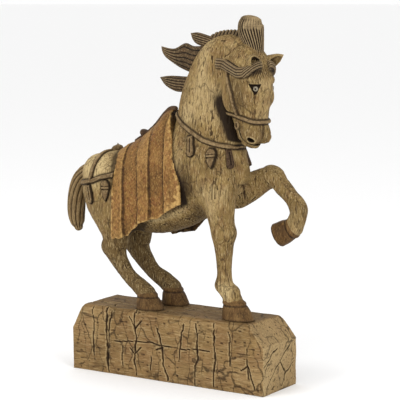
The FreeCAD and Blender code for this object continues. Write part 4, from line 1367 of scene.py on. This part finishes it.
def cloth_marks(co, outline):
    """Painted shade at the folds and on the inner face, painted light and shade on the panels, specks
    where the gilding has gone, and a rubbed border and front corner.
    """
    px, py, pz = co.T
    _, tone, fold_shade = pleats(px, pz)
    border = smoothstep(outline_distance(px, pz, outline), -4.2, -1.6)
    corner = fade(px, pz, (19, 212), (10, 14))
    dabs = smoothstep(noise(co, 3.6, 39), -0.1, 0.35)
    specks = smoothstep(noise(co, 2.3, 33), 0.35, 0.7)
    # painted shade on the inner face of the cloth
    inside = smoothstep(cloth_field(px, py, pz), -4.0, -4.8)
    push = 0.32 * noise(co, 4.5, 34) + 0.22 * noise(co, 2.0, 35) - 0.3 * fold_shade
    return push, {
        "crack": np.clip(0.45 * fold_shade + 0.3 * specks + 0.8 * inside, 0, 1),
        "tone": tone + 0.3 * noise(co, (18, 18, 26), 36) + (0.95 * border + 1.2 * corner) * dabs,
    }


def make_cloth():
    """The two halves of the pleated cloth, and the saddle's ridge between them."""
    for name, sign, outline, low, high in (
        ("saddle_cloth_right", -1, RIGHT_CLOTH, (-86, -50, 158), (28, 1, 318)),
        ("saddle_cloth_left", 1, LEFT_CLOTH, (-86, -1, 156), (28, 50, 318)),
    ):
        x, y, z, place = block(low, high, 0.85)
        px, pz = side_view(x, z)
        height, _, _ = pleats(px, pz)
        gain = 0.75 + 0.35 * smoothstep(pz, 240, 180) - 0.6 * smoothstep(pz, 262, 295)
        skin = cloth_field(x, y, z) + 2.5
        outer = skin - (height * gain)[:, None, :]
        shell = np.maximum(outer, -(skin + 3.2 + 9 * smoothstep(z, 282, 298)))
        edge = outline_distance(px, pz, outline) + 0.8 * noise(np.stack([px, 0 * px, pz], -1), 11, 31)
        flap = np.maximum(overlap(shell, edge[:, None, :], 1.2), -y * sign - 0.5)
        sculpt(
            name, flap, place, CLOTH_PAINT,
            lambda co, normals, outline=outline: cloth_marks(co, outline),
        )

    x, y, z, place = block((-70, -12, 258), (-6, 12, 318), 0.6)
    along = (-64, -54, -44, -34, -24, -16, -10)
    spine = [(px, 0, CLOTH_MIDDLE + cloth_half_height(px) - 2.6) for px in along]
    ridge = strand(x, y, z, spine, [2.4, 3.0, 3.4, 3.8, 4.0, 4.0, 3.4])
    cantle = ball(x, y, z, (-50, 0, 283.5), (8, 10, 4.0), -38)
    sculpt(
        "saddle", union(ridge, cantle, 2), place, SADDLE_PAINT,
        lambda co, normals: (0.3 * noise(co, 5, 37) + 0.15 * noise(co, 2, 38), {}),
    )


make_cloth()


# ----------------------------------------------------------------------- hooves

HOOVES = {
    # rows down the hoof, as for the limbs
    "right_fore_hoof": [
        (79.6, -17, 104, 21, 21), (80, -17, 100.5, 23.5, 23), (81.5, -17, 95, 28, 25.5),
        (84, -17, 87, 34.5, 28.5), (86, -17, 80, 39.5, 30.6), (87.5, -17, 74, 43, 32),
    ],
    "right_hind_hoof": [
        (-38, -20, 102, 20, 20), (-37, -20, 98.5, 22.5, 22), (-36, -20, 93, 26.5, 24),
        (-34.4, -20, 86, 31.5, 27), (-33, -20, 80, 35.5, 28.6), (-32, -20, 74, 38, 30),
    ],
    "left_hind_hoof": [
        (-29, 21, 103, 20, 20), (-28, 21, 99.5, 22.5, 22), (-27, 21, 94, 26.5, 24),
        (-25.4, 21, 86.5, 31.5, 27), (-24, 21, 80, 35.5, 28.6), (-23, 21, 74, 38, 30),
    ],
    "left_fore_hoof": [
        (140, 22, 186.5, 20, 20), (136.5, 22, 184.8, 22.6, 22.4), (131, 22, 182, 25, 23.8),
        (123, 22, 177.8, 27.4, 25), (116, 22, 174.2, 28.6, 25.6), (112, 22, 172, 29, 26),
    ],
}


def make_hooves():
    """Hooves cut flat at the sole and at the coronet, with a raised band there."""
    for name, rows in HOOVES.items():
        points = np.array(rows, float)
        reach = points[:, 3].max() / 2 + 3
        low = (points[:, 0].min() - reach, rows[0][1] - 18, points[:, 2].min() - 16)
        high = (points[:, 0].max() + reach, rows[0][1] + 18, points[:, 2].max() + 14)
        x, y, z, place = block(low, high, 0.6)
        sole = points[4, :3]
        down = np.array([0, 0, -1.0])
        if name == "left_fore_hoof":
            down = points[5, :3] - points[0, :3]
            down = down / np.linalg.norm(down)
        depth = (x - sole[0]) * down[0] + (y - sole[1]) * down[1] + (z - sole[2]) * down[2]
        coronet = float((points[1, :3] - sole) @ down)
        hoof = Form(rows).field(x, y, z) - 0.9 * smoothstep(np.abs(depth - coronet - 1.0), 2.2, 0.6)
        hoof = overlap(overlap(hoof, depth, 0.9), coronet - 2.4 - depth, 0.9)

        def hoof_marks(co, normals, sole=sole, down=down, coronet=coronet):
            depth = (co - sole) @ down
            rings = np.sin((depth + noise(co, 9, 41)) / 2.4)
            # painted shade in the groove under the raised band, and darker towards the sole
            under = smoothstep(np.abs(depth - coronet - 4.2), 1.4, 0.4)
            worn = smoothstep(noise(co, (6, 6, 10), 44), 0.2, 0.6)
            push = 0.14 * rings + 0.2 * noise(co, (3, 3, 9), 42) - 0.3 * under
            return push, {
                "crack": np.maximum(0.5 * under, 0.6 * smoothstep(depth, -2.5, -0.5)),
                "tone": 0.5 * noise(co, (7, 7, 12), 43) + 0.3 * worn,
            }

        sculpt(name, hoof, place, HOOF_PAINT, hoof_marks)


make_hooves()


# ----------------------------------------------------------------------- plinth

PLINTH_LENGTH, PLINTH_WIDTH, PLINTH_TOP = 266, 76, 80
TOP_CHAMFER = 4
PLINTH_SIDE = [(-133, 0), (133, 0), (133, 55), (112, 80), (-118, 80), (-133, 50)]
RIGHT_CRACKS = [
    # a drying crack down the long face: its (x, z) course and its widest half-width
    ([(-103, 79), (-101, 60), (-102, 40), (-100, 14)], 0.8),
    ([(-84, 80), (-82, 60), (-83, 34), (-81, 2)], 1.7),
    ([(-76, 76), (-78, 55), (-81, 30)], 0.8),
    ([(-60, 36), (-61, 22), (-59, 11)], 0.7),
    ([(-42, 79), (-40, 50), (-42, 28), (-40, 4)], 1.1),
    ([(-20, 29), (-19, 12)], 0.6),
    ([(-11, 63), (-6, 42), (-2, 22), (4, 2)], 1.3),
    ([(25, 71), (22, 50), (19, 27)], 0.9),
    ([(43, 73), (44, 42), (42, 2)], 1.3),
    ([(66, 77), (68, 45), (66, 4)], 1.0),
    ([(88, 69), (87, 50), (88, 31)], 0.7),
    ([(111, 51), (110, 35), (112, 19)], 0.6),
    ([(-72, 40), (-40, 44), (12, 42), (60, 44)], 0.25),
    ([(-49, 72), (-41, 61)], 0.8),
    ([(-34, 69), (-40, 57)], 0.8),
    ([(-48, 35), (-42, 28)], 0.7),
    ([(-33, 37), (-41, 30)], 0.7),
    ([(-14, 38), (-3, 41)], 0.6),
    ([(102, 27), (111, 32), (117, 18), (119, 8)], 0.8),
]
LEFT_CRACKS = [
    ([(-95, 78), (-97, 40), (-94, 6)], 1.3),
    ([(-52, 80), (-50, 45), (-53, 20)], 1.0),
    ([(-8, 60), (-5, 30), (-7, 2)], 1.5),
    ([(34, 78), (37, 50), (35, 30)], 0.9),
    ([(79, 72), (77, 35), (80, 4)], 1.2),
    ([(104, 50), (106, 20)], 0.7),
    ([(-60, 30), (0, 28), (40, 31)], 0.6),
]
TOP_CRACKS = [
    # across the top face these are (x, y)
    ([(-110, -12), (-60, -9), (-20, -14)], 0.9),
    ([(0, 6), (45, 9), (100, 4)], 1.0),
    ([(-84, -38), (-80, -26), (-82, -15)], 1.2),
    ([(-41, -38), (-43, -30)], 0.8),
    ([(30, 30), (80, 27)], 0.7),
]
END_CRACKS = [
    # on both sawn ends these are (y, z)
    ([(-30, 8), (-12, 26), (6, 38), (24, 52)], 0.8),
    ([(-34, 34), (-20, 44), (-8, 50)], 0.6),
    ([(4, 4), (14, 18), (30, 28)], 0.7),
    ([(0, 36), (0, 36.5), (12, 20), (10, 8)], 0.6),
]


def crack_depth(a, b, courses):
    """How open the cracks of one face are at its (a, b) spots, 0 to 1."""
    gap = np.zeros(len(a))
    flat = np.stack([a, b, 0 * a], -1)
    bent_a = a + 2.4 * noise(flat, 13, 51) + 1.1 * noise(flat, 4.5, 52)
    bent_b = b + 2.0 * noise(flat, 11, 53)
    ragged = np.maximum(1 + 1.5 * noise(flat, 6, 59), 0.25)
    for course, widest in courses:
        dist, along = line_distance(bent_a, bent_b, course)
        closing = 0.35 + 0.65 * np.sin(np.pi * np.clip(along, 0.02, 0.98)) ** 0.5
        half = 0.6 * widest * ragged * closing
        gap = np.maximum(gap, smoothstep(dist, half + 0.65, half * 0.4))
    return gap


def plinth_marks(co, normals):
    """Adze facets, grain along the beam, pits and open drying cracks, with painted light on the sawn
    ends.
    """
    px, py, pz = co.T
    near = smoothstep(-normals[:, 1], 0.5, 0.8)
    far = smoothstep(normals[:, 1], 0.5, 0.8)
    top = smoothstep(normals[:, 2], 0.5, 0.8)
    ends = smoothstep(np.abs(normals[:, 0]), 0.5, 0.8)
    crack = np.maximum.reduce([
        near * crack_depth(px, pz, RIGHT_CRACKS),
        far * crack_depth(px, pz, LEFT_CRACKS),
        top * crack_depth(px, py, TOP_CRACKS),
        ends * crack_depth(py, pz, END_CRACKS),
    ])
    adze = 0.5 * noise(co, (26, 22, 16), 54) + 0.3 * noise(co, (11, 9, 7), 55)
    grain = 0.18 * noise(co, (16, 2.0, 2.0), 56) * (1 - ends)
    pits = smoothstep(noise(co, (6, 2.4, 2.4), 57), 0.5, 0.8) * 0.5
    # painted light on the sawn ends; the top is painted darker
    tone = 0.3 * noise(co, (50, 30, 26), 58) + 0.65 * ends - 0.45 * top
    return adze + grain - pits - 2.2 * crack - 0.35, {"crack": 0.95 * crack + 0.35 * pits, "tone": tone}


def make_plinth():
    """The beam, with a narrow chamfer along both edges of its top."""
    half_length, half_width = PLINTH_LENGTH / 2, PLINTH_WIDTH / 2
    x, y, z, place = block((-134, -39, -1), (134, 39, 81), 1.1)
    px, pz = side_view(x, z)
    side = outline_distance(px, pz, PLINTH_SIDE)[:, None, :]
    beam = overlap(side, np.abs(y) - half_width, 1.6)
    chamfer = (np.abs(y) + z - half_width - PLINTH_TOP + TOP_CHAMFER) * 0.707
    beam = overlap(beam, chamfer, 1.2)

    def marks(co, normals):
        push, made = plinth_marks(co, normals)
        under = (co[:, 2] < 1.2) & (normals[:, 2] < -0.5)
        return np.where(under, np.minimum(push, 0) * 0.2, push), made

    made = sculpt("plinth", beam, place, PLINTH_WOOD, marks)
    # the blank's own faces hold every vertex in, and the floor is at 0
    flat = np.empty(3 * len(made.data.vertices), np.float32)
    made.data.vertices.foreach_get("co", flat)
    flat = flat.reshape(-1, 3)
    flat[:, 2] = np.maximum(flat[:, 2], 0)
    flat[:, 0] = np.clip(flat[:, 0], -half_length * MM, half_length * MM)
    flat[:, 1] = np.clip(flat[:, 1], -half_width * MM, half_width * MM)
    made.data.vertices.foreach_set("co", flat.ravel())
    made.data.update()


make_plinth()


# ------------------------------------------------------------------------ stage

LIGHTS = (
    # name, place and width in metres, watts
    ("key", (1.7, -0.9, 1.0), 0.8, 13.0),
    ("front", (-0.7, -1.8, 1.3), 1.0, 18.0),
)
LIT_SPOT = Vector((0, 0, 0.22))
FLOOR = 90.0  # half its size in metres
SENSOR_WIDTH, FOCAL_LENGTH = 36.0, 144.86  # millimetres
CAMERA_AT = (1.0194, -1.5526, 0.4515)
CAMERA_LOOK = Vector((-0.5350, 0.8349, -0.1295))


def stage():
    """A white floor and a white room, with two soft lamps."""
    mesh = bpy.data.meshes.new("floor")
    corners = [(-FLOOR, -FLOOR, 0), (FLOOR, -FLOOR, 0), (FLOOR, FLOOR, 0), (-FLOOR, FLOOR, 0)]
    mesh.from_pydata(corners, [], [(0, 1, 2, 3)])
    floor = bpy.data.objects.new("floor", mesh)
    bpy.context.scene.collection.objects.link(floor)
    material = bpy.data.materials.new("floor_white")
    material.use_nodes = True
    shader = material.node_tree.nodes["Principled BSDF"]
    shader.inputs["Base Color"].default_value = (0.93, 0.93, 0.93, 1)
    shader.inputs["Roughness"].default_value = 0.9
    shader.inputs["Specular IOR Level"].default_value = 0.1
    mesh.materials.append(material)
    world = bpy.data.worlds.new("studio")
    bpy.context.scene.world = world
    world.use_nodes = True
    world.node_tree.nodes["Background"].inputs["Color"].default_value = (1, 1, 1, 1)
    world.node_tree.nodes["Background"].inputs["Strength"].default_value = 1.0
    for name, spot, width, watts in LIGHTS:
        data = bpy.data.lights.new(name, "AREA")
        data.size = width
        data.energy = watts
        lamp = bpy.data.objects.new(name, data)
        bpy.context.scene.collection.objects.link(lamp)
        lamp.location = spot
        lamp.rotation_euler = (LIT_SPOT - Vector(spot)).to_track_quat("-Z", "Y").to_euler()


def camera():
    data = bpy.data.cameras.new("camera")
    data.sensor_width = SENSOR_WIDTH
    data.lens = FOCAL_LENGTH
    data.clip_end = 50.0
    made = bpy.data.objects.new("camera", data)
    bpy.context.scene.collection.objects.link(made)
    made.location = CAMERA_AT
    made.rotation_euler = CAMERA_LOOK.to_track_quat("-Z", "Y").to_euler()
    bpy.context.scene.camera = made


stage()
camera()
bpy.context.scene.view_settings.view_transform = "Standard"
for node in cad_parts.values():  # the pegs, which keep their CAD meshes
    if not node.hide_render:
        node.data.materials.clear()
        node.data.materials.append(DOWEL_WOOD)
